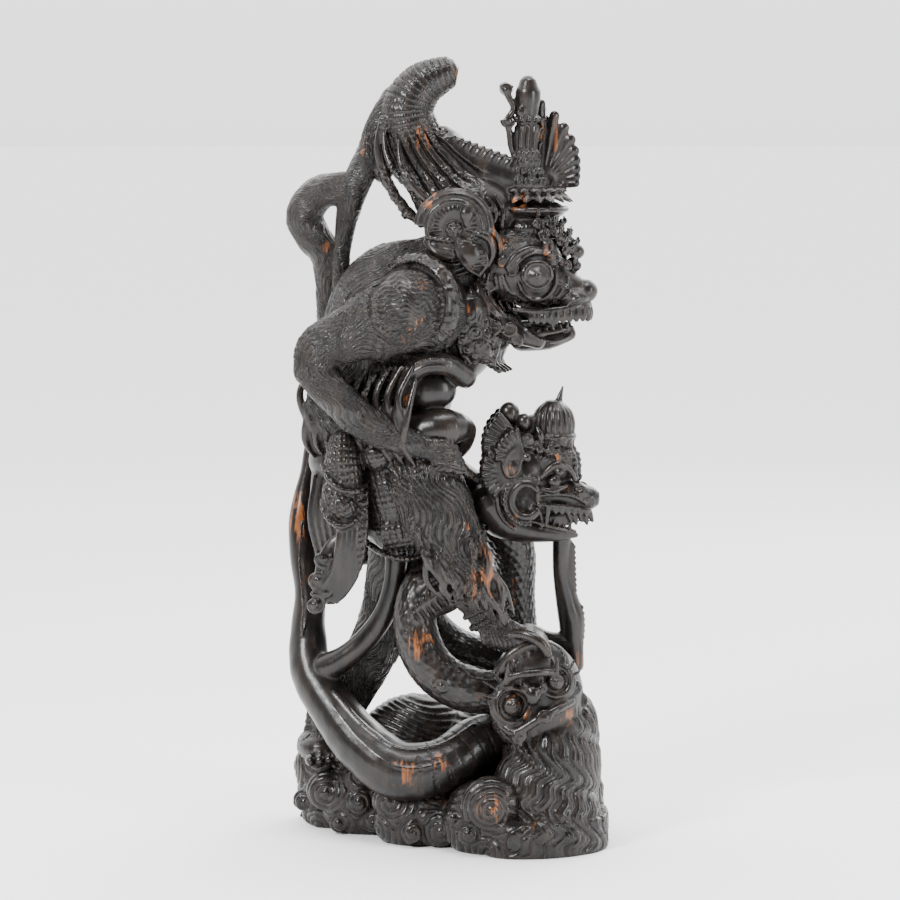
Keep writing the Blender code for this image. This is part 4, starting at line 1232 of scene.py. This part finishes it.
def boss(x, z, radius, lift=0.0, flat=0.7):
    """A polished ball on each side of the head."""
    hit = skull.ray_cast(Vector((x, -200, z)), Vector((0, 1, 0)))[0]
    spot = hit if hit is not None else Vector((x, -32, z))
    for place in both_sides([(x, spot.y - lift, z)]):
        head.lump(place[0], (radius, radius * flat, radius), sides=18)
    return Vector((x, spot.y - lift, z))


def curl_at(x, z, radius, thick, start=0.0, lift=0.8):
    """A spiral lock on each side of the head."""
    spot = boss(x, z, thick * 1.2, lift)
    count = 15
    ring = []
    for i in range(count):
        share = i / (count - 1)
        t = math.radians(start) + share * 3.1 * math.pi
        reach = radius * (1 - 0.72 * share)
        width = thick * (1 - 0.3 * share)
        ring.append((spot.x + reach * math.cos(t), spot.y, spot.z + reach * math.sin(t), width))
    for line in both_sides(ring):
        head.limb(*line, sides=8, gap=1.5)


# The eye, its lids and the folds round it
for side in (-1, 1):
    gaze = (turned.to_3x3() @ Vector((0.40, side, 0.10))).normalized()
    across = gaze.cross(Vector((0, 0, 1))).normalized()
    upward = across.cross(gaze)
    eye = at(8.5, 25.5 * side, -3)
    head.lump(eye, (10.0, 10.0, 9.4), sides=32)
    for size, thick, lift, first, last in (
        (9.8, 1.6, 5.4, 180, 360), (10.2, 2.5, 5.2, -10, 190),
    ):
        ring = []
        for t in np.radians(np.linspace(first, last, 21)):
            out = across * math.cos(t) * side * -1 + upward * math.sin(t) * 0.92
            ring.append((*(eye + gaze * lift + out * size), thick))
        head.limb(*ring, sides=10, gap=1.5)
    head.lump(eye + gaze * 9.2, 2.7, sides=16)
draw([(51, 415), (54, 408), (62, 403), (70, 404), (76.5, 411), (78, 420), (76, 429)], 2.2, 1.5)
draw([(40, 412), (50, 406), (61, 398.5), (73, 399.5), (82, 408), (87, 419)], 2.0, 0.8)
draw([(50, 431), (54, 435), (62, 438.5), (70, 437), (77, 431)], 2.4, 1.2)
brow = draw([(48, 434), (53, 439.5), (62, 443), (71, 441), (79, 434.5)], 1.2, 0.8)
for line in both_sides(brow):
    head.beads([Vector(p[:3]) for p in line], 1.7, 1.05)
draw([(37, 437), (42, 445), (52, 449), (62, 448), (74, 441)], 1.8, 0.6)
curl_at(44.5, 437.5, 5.4, 1.6, 90)
curl_at(45.5, 427, 5.2, 1.6, 250)
curl_at(38.5, 431, 3.6, 1.3, 30)
for side in (-1, 1):
    head.volute(at(29, 13 * side, 4), 4.6, 1.6, 1.3, (0.5, side, 0.3), 20, 1.0)
    head.volute(at(20, 20 * side, 9), 4.2, 1.5, 1.3, (0.4, side, 0.3), 200, 1.0)

draw([(42, 428), (49, 437), (60, 441), (71, 437), (79, 428)], 2.6, 1.6)
draw([(40, 417), (45, 408), (55, 402.5), (67, 401.5), (77, 405)], 1.5, 1.6)

# Snout, nose, lips and teeth
head.lump(at(42, 0, -15), (8.6, 9.0, 8.6), sides=32)
for side in (-1, 1):
    head.lump(at(38, 8.5 * side, -17), (5.5, 4.4, 4.6), sides=20)
for k in range(4):
    bow = [at(14 + 4.6 * k + 2.5 * abs(u), (18.5 - k) * u, 6.5 - 2.8 * k - 10 * u * u)
           for u in np.linspace(-1, 1, 9)]
    head.limb(*[(*spot, 1.7) for spot in bow], sides=10)
draw([(42, 407), (50, 400), (60, 396), (74, 394.5), (86, 396.5), (97, 400)], 1.9, 0.6)
draw([(66, 400.5), (78, 398.5), (88, 401), (95, 405)], 1.5, 0.4)
draw([(76, 403), (84, 404), (90, 410)], 1.4, 0.4)
for side in (-1, 1):
    lip = [at(-8, 23.5 * side, -28), at(8, 23 * side, -29), at(24, 18.5 * side, -28),
           at(36, 13 * side, -26), at(43, 6 * side, -25.5), at(44, -1 * side, -25.5)]
    head.limb(*[(*spot, 2.3) for spot in lip])
    path = smooth_path([(*spot, 1) for spot in lip], 1.0)
    run = np.concatenate([[0], np.cumsum(np.linalg.norm(np.diff(path[:, :3], axis=0), axis=1))])
    place = 12.0
    while place < run[-1] - 1:
        share = place / run[-1]
        wide = 4.2 + 1.6 * share
        spot = Vector([np.interp(place, run, path[:, j]) for j in range(3)])
        tall = 4.6 + 1.8 * share
        head.lump(spot + Vector((0.4, 0.4 * side, -1.4 - tall * 0.75)), (wide * 0.52, wide * 0.5, tall),
                  sides=14)
        place += wide * 1.02
    head.spike(at(19, 20 * side, -29), at(21, 20.5 * side, -43), 2.8, 0.8)
    jaw = [at(-14, 21 * side, -40), at(0, 18.5 * side, -46), at(16, 12.5 * side, -45.5),
           at(28, 6 * side, -43), at(31, 0, -42.5)]
    head.limb(*[(*spot, 1.9) for spot in jaw])
    low = smooth_path([(*spot, 1) for spot in jaw], 1.0)
    for k in range(7):
        spot = Vector(low[int((0.3 + 0.68 * k / 7) * (len(low) - 1))][:3])
        head.lump(spot + Vector((0, 0, 2.6)), (1.7, 1.6, 3.2), sides=10)
head.limb((*at(-4, 0, -40), 5), (*at(14, 0, -41), 5), (*at(26, 0, -40), 2.5), facing=(0, 0, 1), thin=0.5,
          sides=20)
draw([(41, 392), (47, 389.5), (52, 385), (65, 374)], 1.8, 0.6)
draw([(66, 373.5), (78, 371.5), (88, 375)], 1.4, 0.3)

# The grooved ear, the curl over it and the teardrop leaf above
for side in (-1, 1):
    lobe = on_side(side, [
        (6.5, -42, 450, 1.4), (10.5, -43.5, 443, 6.5), (16, -43.5, 435, 8.2), (20.5, -41, 427, 4.5),
        (22.5, -39, 423, 2),
    ])
    head.limb(*lobe, facing=(0, 1, 0), thin=0.6, sides=24)
    head.lump(on_side(side, [(-1, -37, 444)])[0], (18, 5, 8), sides=24)
    head.lump(on_side(side, [(20, -38, 440)])[0], (12, 5, 14), sides=24)
    for k in range(6):
        share = k / 5
        left = Vector((7.5 + 10 * share, -46.2, 445 - 16.5 * share))
        right = left + Vector((8.5 + 3.5 * math.sin(math.pi * share), 0.6, 2.2))
        rib = on_side(side, [(*left, 0.9), (*left.lerp(right, 0.5), 1.2), (*right, 0.8)])
        head.limb(*rib, sides=8)
    for rim in (
        [(5, 451, 1.2), (4.8, 441, 1.7), (10, 430, 1.8), (18, 424, 1.6), (22, 422, 1.2)],
        [(5, 451, 1.2), (14, 445, 1.7), (24, 440, 1.9), (27, 431, 1.8), (22, 422, 1.2)],
    ):
        line = on_side(side, [(x, -44.5, z, r) for x, z, r in rim])
        head.limb(*line, sides=10)
    over = on_side(side, [
        (16, -40, 452, 2), (21, -43, 452.5, 2.8), (29, -43, 448, 3.0), (31.5, -41, 439, 2.8),
        (28, -39, 429, 2.0),
    ])
    head.limb(*over, sides=14)
    outer = on_side(side, [
        (17, -38, 457.5, 1.8), (26, -40, 458, 2.3), (34, -39, 451, 2.4), (37, -36, 441, 2.2),
        (34.5, -35, 430, 1.6),
    ])
    head.limb(*outer, sides=12)
    drop = on_side(side, [(13, -44, 475, 1.0), (12.5, -45.5, 468, 4.8), (11.5, -44, 459, 1.8)])
    head.limb(*drop, facing=(0, 1, 0), thin=0.5, sides=16)
curl_at(22.5, 446, 4.2, 1.6, 0, 3.0)
boss(22, 474, 4.2, 3.0)
boss(23, 465, 2.8, 4.0)
boss(18.5, 455.5, 2.8, 4.0)
boss(29, 469, 3.0, 2.0)
draw([(27, 478), (33, 471), (33, 462), (28, 456)], 2.2, 1.0)
draw([(33, 480), (39, 470), (38, 458), (36, 450)], 2.0, 0.8)

# The fan behind the ear, its rim, and the crescent collar under it
hub_x, hub_z = 3.0, 456.0
for side in (-1, 1):
    for k in range(17):
        t = math.radians(-5 + 190 * k / 16)
        c, s = math.cos(t), math.sin(t)
        rib = [(hub_x + 8 * c, -41.5, hub_z + 8 * s, 0.9), (hub_x + 13 * c, -43, hub_z + 13 * s, 1.3),
               (hub_x + 18 * c, -42, hub_z + 18 * s, 1.5)]
        head.limb(*on_side(side, rib), sides=8)
    for reach, thick, depth in ((20.3, 1.8, -43.0), (24.6, 3.0, -40.5), (28.5, 1.5, -38.5)):
        arc = [(hub_x + reach * math.cos(t), depth, hub_z + reach * math.sin(t), thick)
               for t in np.radians(np.linspace(-8, 200 if reach < 22 else 172, 25))]
        head.limb(*on_side(side, arc), sides=12, gap=2.0)
    head.lump(on_side(side, [(hub_x, -39, hub_z + 4)])[0], (20, 3.2, 17), sides=28)
    flower = [(hub_x + 4.6 * math.cos(t), -43.5, hub_z - 1 + 4.6 * math.sin(t))
              for t in np.linspace(0, 2 * math.pi, 9)[:-1]]
    for petal in on_side(side, flower):
        head.lump(petal, 1.9, sides=10)
    head.lump(on_side(side, [(hub_x, -44, hub_z - 1)])[0], 2.6, sides=14)
    for k in range(9):
        spot = (hub_x - 17 + 4.2 * k, -42, hub_z - 6.5 - 2.2 * math.sin(math.pi * k / 8))
        head.lump(on_side(side, [spot])[0], (2.3, 2.0, 2.3), sides=10)
    for drop, thick, depth in ((0, 1.6, -42), (-4.5, 3.4, -41), (-10.5, 1.5, -38), (-15, 1.3, -35),
                               (-19, 1.2, -33)):
        sling = [(-17.5, depth + 5, 449 + drop * 0.8, thick * 0.8), (-9, depth + 1, 442 + drop, thick),
                 (1, depth, 440 + drop, thick), (13, depth, 443 + drop, thick * 0.8)]
        head.limb(*on_side(side, sling), sides=12)

# Cheek strands, beard and diadem
for k in range(3):
    shift = 3.4 * k
    draw([(11 + shift, 425), (8.5 + shift, 418), (9 + shift, 410), (13.5 + shift, 402), (12.5 + shift, 395),
          (10 + shift, 388)], 1.9, 6.0)
    draw([(22 + shift, 423), (20.5 + shift, 414), (23 + shift, 405), (28 + shift, 398), (35 + shift, 391)],
         1.7, 3.0)
for k in range(3):
    draw([(33 + 3 * k, 421), (35 + 3 * k, 410), (36 + 2.6 * k, 401), (41 + 2 * k, 394)], 1.6, 1.6)
curl_at(30.5, 414, 4.6, 1.5, 120, 2.5)
for x, z, size, start in (
    (21, 381, 5.5, 0), (33, 384, 6.0, 120), (44, 382, 5.5, 220), (26, 371, 5.5, 60), (38, 371, 6.0, 180),
    (49, 374, 4.5, 300), (16, 391, 4.5, 40), (30, 361, 4.6, 90), (13, 376, 4.5, 200),
):
    curl_at(x, z, size, 1.8, start, 2.0)
for k in range(8):
    lock = [(2 + 3.4 * k, -38, 408 - 2 * k, 2.0), (3 + 3.4 * k, -41, 394 - 2 * k, 3.0),
            (9 + 2.6 * k, -42, 381 - 2 * k, 3.0),
            (7 + 3.0 * k, -41, 369 - k, 2.6), (12 + 3.0 * k, -38, 357, 1.2)]
    head.limb(*both_sides(lock)[0], sides=12)
for spots in both_sides([(14, -30, 396, 16), (18, -30, 376, 14), (24, -28, 364, 8)]):
    head.limb(*spots, sides=20)
for k in range(7):
    spread = -1 + k / 3
    head.limb((*at(-24 + 3 * (k % 2), 18 * spread, -46), 4.2),
              (*at(-30 + 4 * (k % 2), 20 * spread, -60), 4.6),
              (*at(-26, 17 * spread, -70), 3.0), (*at(-20 + 3 * (k % 2), 15 * spread, -75), 1.4), sides=14)
for row in range(4):
    for k in range(6):
        spread = (-1 + k / 2.5) * (1 - 0.06 * row)
        bow = 14 * spread * spread
        spot = at(33 - bow - 5.2 * row, 21 * spread, 13 + 7.5 * row + 2.0 * (k % 2))
        out = turned.to_3x3() @ Vector((0.9 - 0.5 * abs(spread), spread, 0.3))
        head.volute(spot, 4.4, 1.6, 1.3, out, 90 * k + 45 * row, 1.8)
        head.limb((*(spot + Vector((0, 0, 3))), 2.0), (*(spot + out * 3 + Vector((0, 0, 6.5))), 1.6),
                  (*(spot + out * 2.5 + Vector((0, 0, 9.5))), 0.6), sides=8)
head.lump(at(35, 0, 14), 5.6, sides=24)
head.lump(at(34, 0, 3.5), 4.4, sides=20)
for k in range(9):
    t = k * 2 * math.pi / 9
    head.lump(at(33, 7.6 * math.cos(t), 14 + 7.6 * math.sin(t)), 2.0, sides=10)
piece = head.fuse("warrior_head", FINE_GRAIN)
spots = to_layout(read(piece.data))
x, y, z = spots.T
hair = ((40 - x) / 6).clip(0, 1) * ((396 - z) / 6).clip(0, 1) * (z < 440)
crest = ((z - 443) / 5).clip(0, 1) * ((x - 36) / 6).clip(0, 1)
cut_curls(piece, [((0, -40, 440), 8)], 2.7, 0.8, np.maximum(hair, crest), 8.5, 7)
push(piece, 0.12 * waves(spots, 9, 4))
wood = ebony(
    "ebony_head",
    [(38, -44, 424, 9), (37, -38, 450, 12), (15, -44, 398, 6), (37, -38, 402, 10), (74, -30, 438, 8),
     (-16, -40, 478, 9)],
)
finish(piece, wood)

# The crown
# Tall back curl whose end is cut off flat, fluted below between raised ribs and cut above with bands
# of short feather strokes; in front a petalled brim, a turned finial with a scroll, and a shell leaf.

curl_line = [
    (11, 0, 466, 33), (-8, 0, 490, 25), (-25, 0, 518, 21), (-31.5, 0, 543, 19.5), (-19, 0, 562, 16.5),
    (-5, 0, 569, 13),
]
crown = Masses()
crown.limb(*curl_line, sides=48, fur=56)
crown.lump((19, 0, 473), (38, 33, 24), (0, 24, 0), sides=40)
crown.limb((-6, 0, 516, 15), (7, 0, 504, 16), (20, 0, 498, 16), (36, 0, 493, 15), (50, 0, 489, 13),
           sides=32)
for y in (-10, 0, 10):
    crown.limb((-50, y, 536, 2.6), (-53, y, 515, 3.4), (-49, y, 495, 3.6), (-37, y, 474, 3.6),
               (-26, y, 462, 3), sides=14)
crown.lump((-50, 4, 502), (9, 9, 14), sides=20)
for side in (-1, 1):
    for stations in (
        [(-44, 12, 546, 1.4), (-48.5, 14, 524, 2.0), (-46, 20, 507, 2.2), (-36, 27, 491, 2.2),
         (-20, 33, 480, 1.8)],
        [(-31, 24, 530, 1.4), (-29, 30, 508, 2.6), (-20, 35, 493, 2.8), (-12, 36, 482, 2.4)],
        [(-25, 25, 533, 1.4), (-19.5, 32, 507, 2.8), (-11, 36, 493, 2.8), (-5, 37, 485, 2.4)],
        [(-14, 26, 528, 1.4), (-10, 33, 508, 2.8), (-3, 36, 495, 2.6), (3, 37, 487, 2.2)],
        [(-4, 27, 524, 1.4), (0, 33, 508, 2.6), (7, 36, 496, 2.4), (13, 37, 489, 2.0)],
        [(5, 28, 517, 1.4), (9, 33, 505, 2.4), (15, 36, 495, 2.2), (22, 37, 488, 1.8)],
        [(-38, 22, 520, 1.4), (-36, 27, 503, 2.4), (-27, 32, 487, 2.4), (-18, 34, 477, 2.0)],
    ):
        crown.limb(*[(x, side * y, z, r) for x, y, z, r in stations], sides=14)
    for k in range(8):
        spot = Vector((-50 + 2.4 * k, 10 * side, 497 - 4.6 * k))
        crown.lump(spot, (3.4, 3.0, 2.8), sides=10)
    for k in range(9):
        x = -2 + 5.4 * k
        z = 522 - 2.0 * k
        crown.limb((x, 9 * side, z - 6, 3.6), (x + 3, 10 * side, z - 1, 3.0),
                   (x + 6, 10 * side, z + 1, 1.2), sides=12)
        crown.volute((x + 5, 30 * side, z - 10 - k * 0.4), 4.4, 1.5, 1.3, (0, side, 0.3), 90 * k, 0.8)
crown.lump((60, 0, 468), (26, 28, 9), sides=40)
crown.lump((58, 0, 455), (25, 26, 13), sides=40)
crown.limb(*hoop((60, 0, 469), 26.5, 28.5, 2.2, 33), gap=3)
crown.limb(*hoop((58, 0, 449), 24.5, 25.5, 2.0, 33), gap=3)
petals = 18
for row in range(2):
    for i in range(petals):
        angle = (i + 0.5 * row) * 2 * math.pi / petals
        out = Vector((math.cos(angle), 1.07 * math.sin(angle), 0))
        foot = Vector((61, 0, 480 + 3 * row)) + out * (17 - 3 * row)
        tip = Vector((61, 0, 474 + 8 * row)) + out * (30.5 - 4 * row)
        crown.petal(foot, tip, 5.0, (out.x * 0.6, out.y * 0.6, 1), 0.4)
crown.lump((57, 0, 482), (18, 19, 9), sides=32)
for i, (height, reach) in enumerate(((490, 14.5), (497, 12.2), (504, 10.2), (510, 9.0))):
    crown.limb(*hoop((56, 0, height), reach - 2, reach - 2, 2.2, 25), gap=2)
    for k in range(16):
        t = (k + 0.5 * (i % 2)) * math.pi / 8
        c, s = math.cos(t), math.sin(t)
        crown.limb((56 + reach * c, reach * s, height - 2.6, 1.5),
                   (56 + (reach + 0.8) * c, (reach + 0.8) * s, height + 0.6, 1.7),
                   (56 + reach * c, reach * s, height + 2.6, 0.9), sides=8)
crown.limb((57, 0, 480, 14), (56, 0, 497, 9), (56, 0, 516, 7.2), (56.5, 0, 529, 7.2), (57.5, 0, 545, 8.6),
           (58, 0, 556, 9.4), (58, 0, 561, 7.2), sides=32)
for i in range(9):
    t = i * 2 * math.pi / 9
    c, s = math.cos(t), math.sin(t)
    crown.limb((56 + 8.2 * c, 8.2 * s, 512, 1.0), (56 + 8.0 * c, 8.0 * s, 520, 1.6),
               (57 + 8.4 * c, 8.4 * s, 530, 1.2), sides=8)
    crown.lump((57 + 8.6 * c, 8.6 * s, 535.5), 2.2, sides=10)
for k in range(4):
    y = -6 + 4 * k
    crown.limb((47, y, 508, 1.6), (45 + 0.5 * (k % 2), y, 516, 2.2), (44, y, 526, 2.4), (42.5, y, 535, 2.5),
               (47, y, 543, 2.2), (43.5, y, 552, 2.5), (38.5, y * 0.8, 560, 2.2), sides=12)
crown.lump((41, 0, 558), (4.6, 7, 5.2), sides=16)
for side in (-1, 1):
    crown.volute((43, 7.5 * side, 534), 4.6, 1.5, 1.2, (0, side, 0), 180, 0.8)
    crown.volute((42, 7 * side, 557), 4.6, 1.5, 1.2, (0, side, 0), 30, 0.8)
    crown.volute((52, 8.5 * side, 541), 3.6, 1.3, 1.2, (0, side, 0), 90, 0.8)
crown.lump((58, 0, 552), (8.4, 8.6, 11.5), sides=32)

# The shell leaf in front: flutes that spread from its root, longest at the tip
leaves = 9
for k in range(leaves):
    t = math.radians(2 + 88 * k / (leaves - 1))
    reach = 26 + 34 * (k / (leaves - 1)) ** 2.0
    root = Vector((68, 9, 487))
    out = Vector((math.cos(t), 0, math.sin(t)))
    tip = root + out * reach + Vector((0, 3, 0))
    middle = root + out * reach * 0.6 + Vector((0, 6, 0))
    wide = 3.8 + 1.6 * math.sin(math.pi * k / (leaves - 1))
    crown.limb((*root, 3.0), (*middle, wide), (*tip, wide * 0.9), facing=(0, 1, 0), thin=0.55, sides=20)
    crown.limb((*(root + Vector((0, -2, 0))), 0.9), (*(middle + Vector((0, -wide * 0.5, 0))), 1.3),
               (*(tip + Vector((0, -wide * 0.45, 0))), 1.0), sides=10)
crown.limb((70, 14, 490, 8), (77, 21, 505, 10), (76, 22, 520, 6), (72, 18, 536, 2.5), facing=(0, 1, 0),
           thin=0.4, sides=24)
crown.limb((64, 8, 492, 2.2), (66, 10, 512, 2.0), (69, 13, 530, 1.6), (71, 16, 544, 1.0), sides=12)
for k in range(5):
    crown.lump((65 + 1.4 * k, 8 + k, 500 + 9 * k), 2.6 - 0.25 * k, sides=12)
crown.volute((72, 8, 488), 5.5, 1.7, 1.4, (0, -1, 0.3), 0, 1.0)
crown.volute((82, 10, 484), 4.6, 1.5, 1.3, (0, -1, 0.3), 120, 1.0)
piece = crown.fuse("crown", FINE_GRAIN * 1.1)

# The flat cut end of the curl, and the bands of feather strokes
mesh = piece.data
spots = to_layout(read(mesh))
cut_normal = np.array([0.985, 0.0, -0.17])
past = ((spots - np.array([5.6, 0, 567.5])) @ cut_normal) * (spots[:, 2] > 548) * (spots[:, 0] < 25)
spots -= np.clip(past, 0, None)[:, None] * cut_normal
mesh.vertices.foreach_set("co", ((spots - np.array([*MIDDLE, FOOT_LEVEL])) * MM).ravel())
mesh.update()
run, turn, near, count = flow(piece, crown.lines)
row = np.floor(run / 4.6)
along = run / 4.6 - row
stroke = np.abs(np.sin(turn * count / 2 + 0.9 * along + row))
high = ((spots[:, 2] - 512) / 10).clip(0, 1) * (spots[:, 0] < 22) * ((past < -0.5) | (spots[:, 2] < 549))
flute = np.abs(np.sin(turn * 9 + run / 40))
fluted = ((run - 8) / 8).clip(0, 1) * ((78 - run) / 14).clip(0, 1) * (spots[:, 2] > 474)
push(piece, -4.2 * near * fluted * (0.62 - flute).clip(0, 0.4) / 0.4)
push(piece, near * high * (0.55 * (stroke - 0.6) - 0.6 * (along > 0.82) + 0.25 * (1 - along)))
spots = to_layout(read(mesh))
x, y, z = spots.T
lower = ((505 - z) / 6).clip(0, 1) * ((30 - x) / 6).clip(0, 1) * (np.abs(y) < 33) * (x > -60)
cut_curls(piece, [((30, -30, 480), 6)], 2.9, 0.8, lower, 9.5, 11)
drum = ((461 - z) / 3).clip(0, 1) * ((z - 446) / 3).clip(0, 1) * (x > 40)
push(piece, -0.4 * drum * (np.abs(np.sin(np.arctan2(y, x - 58) * 34)) < 0.4))
wood = ebony(
    "ebony_crown",
    [(-22, -26, 522, 14), (-8, -34, 505, 12), (2, -30, 520, 9), (14, -30, 508, 9), (50, -27, 476, 9),
     (78, 12, 524, 15), (22, -34, 496, 8), (6, 0, 569, 13)],
)
finish(piece, wood)

# The studio
# A pale paper floor under the carving, softboxes, a bright wall behind and a dim room in front, and
# the camera that the photograph was taken with: a little above the middle, square to the carved side.

CAMERA_ELEVATION = math.radians(6)
CAMERA_DISTANCE = 2.6
PAPER_REACH = 30.0
AIM = Vector((0.0022, -0.0017, 0.2935))
FRAME_WIDTH = 0.675

paper = bmesh.new()
bmesh.ops.create_grid(paper, x_segments=1, y_segments=1, size=PAPER_REACH)
floor_mesh = bpy.data.meshes.new("paper_floor")
paper.to_mesh(floor_mesh)
paper.free()
floor = bpy.data.objects.new("paper_floor", floor_mesh)
bpy.context.scene.collection.objects.link(floor)
white = bpy.data.materials.new("pale_paper")
white.use_nodes = True
surface = white.node_tree.nodes["Principled BSDF"].inputs
for name, value in (("Base Color", (0.96, 0.96, 0.96, 1)), ("Roughness", 0.9), ("Specular IOR Level", 0.1)):
    surface[name].default_value = value
floor_mesh.materials.append(white)


def soft_light(name, place, size, power):
    """A soft light, size wide and high, that looks at the middle of the carving."""
    light = bpy.data.lights.new(name, "AREA")
    light.shape = "RECTANGLE"
    light.size, light.size_y = size
    light.energy = power
    lamp = bpy.data.objects.new(name, light)
    bpy.context.scene.collection.objects.link(lamp)
    lamp.location = place
    lamp.rotation_euler = (AIM - Vector(place)).to_track_quat("-Z", "Y").to_euler()


soft_light("key", (-1.3, -1.6, 1.7), (0.45, 0.45), 70)
soft_light("fill", (1.9, -1.5, 0.8), (0.2, 1.3), 28)
soft_light("top", (0.2, -0.5, 2.1), (0.9, 0.5), 24)
soft_light("rim", (1.0, 1.7, 1.4), (0.6, 1.0), 20)
sky = bpy.data.worlds.new("studio")
sky.use_nodes = True
air = Wire(sky.node_tree)
toward = sky.node_tree.nodes.new("ShaderNodeSeparateXYZ")
sky.node_tree.links.new(air.node("ShaderNodeTexCoord", out="Generated").socket, toward.inputs[0])
behind = (Wire(sky.node_tree, toward.outputs[1]) * 1.3 + 0.5).held()
bright = behind * (1.0 + Wire(sky.node_tree, toward.outputs[2]) * 1.8) * 2.1 + 0.1
sky.node_tree.nodes["Background"].inputs[0].default_value = (1, 1, 1, 1)
sky.node_tree.links.new(bright.socket, sky.node_tree.nodes["Background"].inputs[1])
bpy.context.scene.world = sky

view = bpy.data.cameras.new("photograph")
view.sensor_width = 36
view.lens = view.sensor_width / FRAME_WIDTH * CAMERA_DISTANCE
camera = bpy.data.objects.new("photograph", view)
bpy.context.scene.collection.objects.link(camera)
back = Vector((0, -math.cos(CAMERA_ELEVATION), math.sin(CAMERA_ELEVATION)))
camera.location = AIM + back * CAMERA_DISTANCE
camera.rotation_euler = (-back).to_track_quat("-Z", "Y").to_euler()
bpy.context.scene.camera = camera
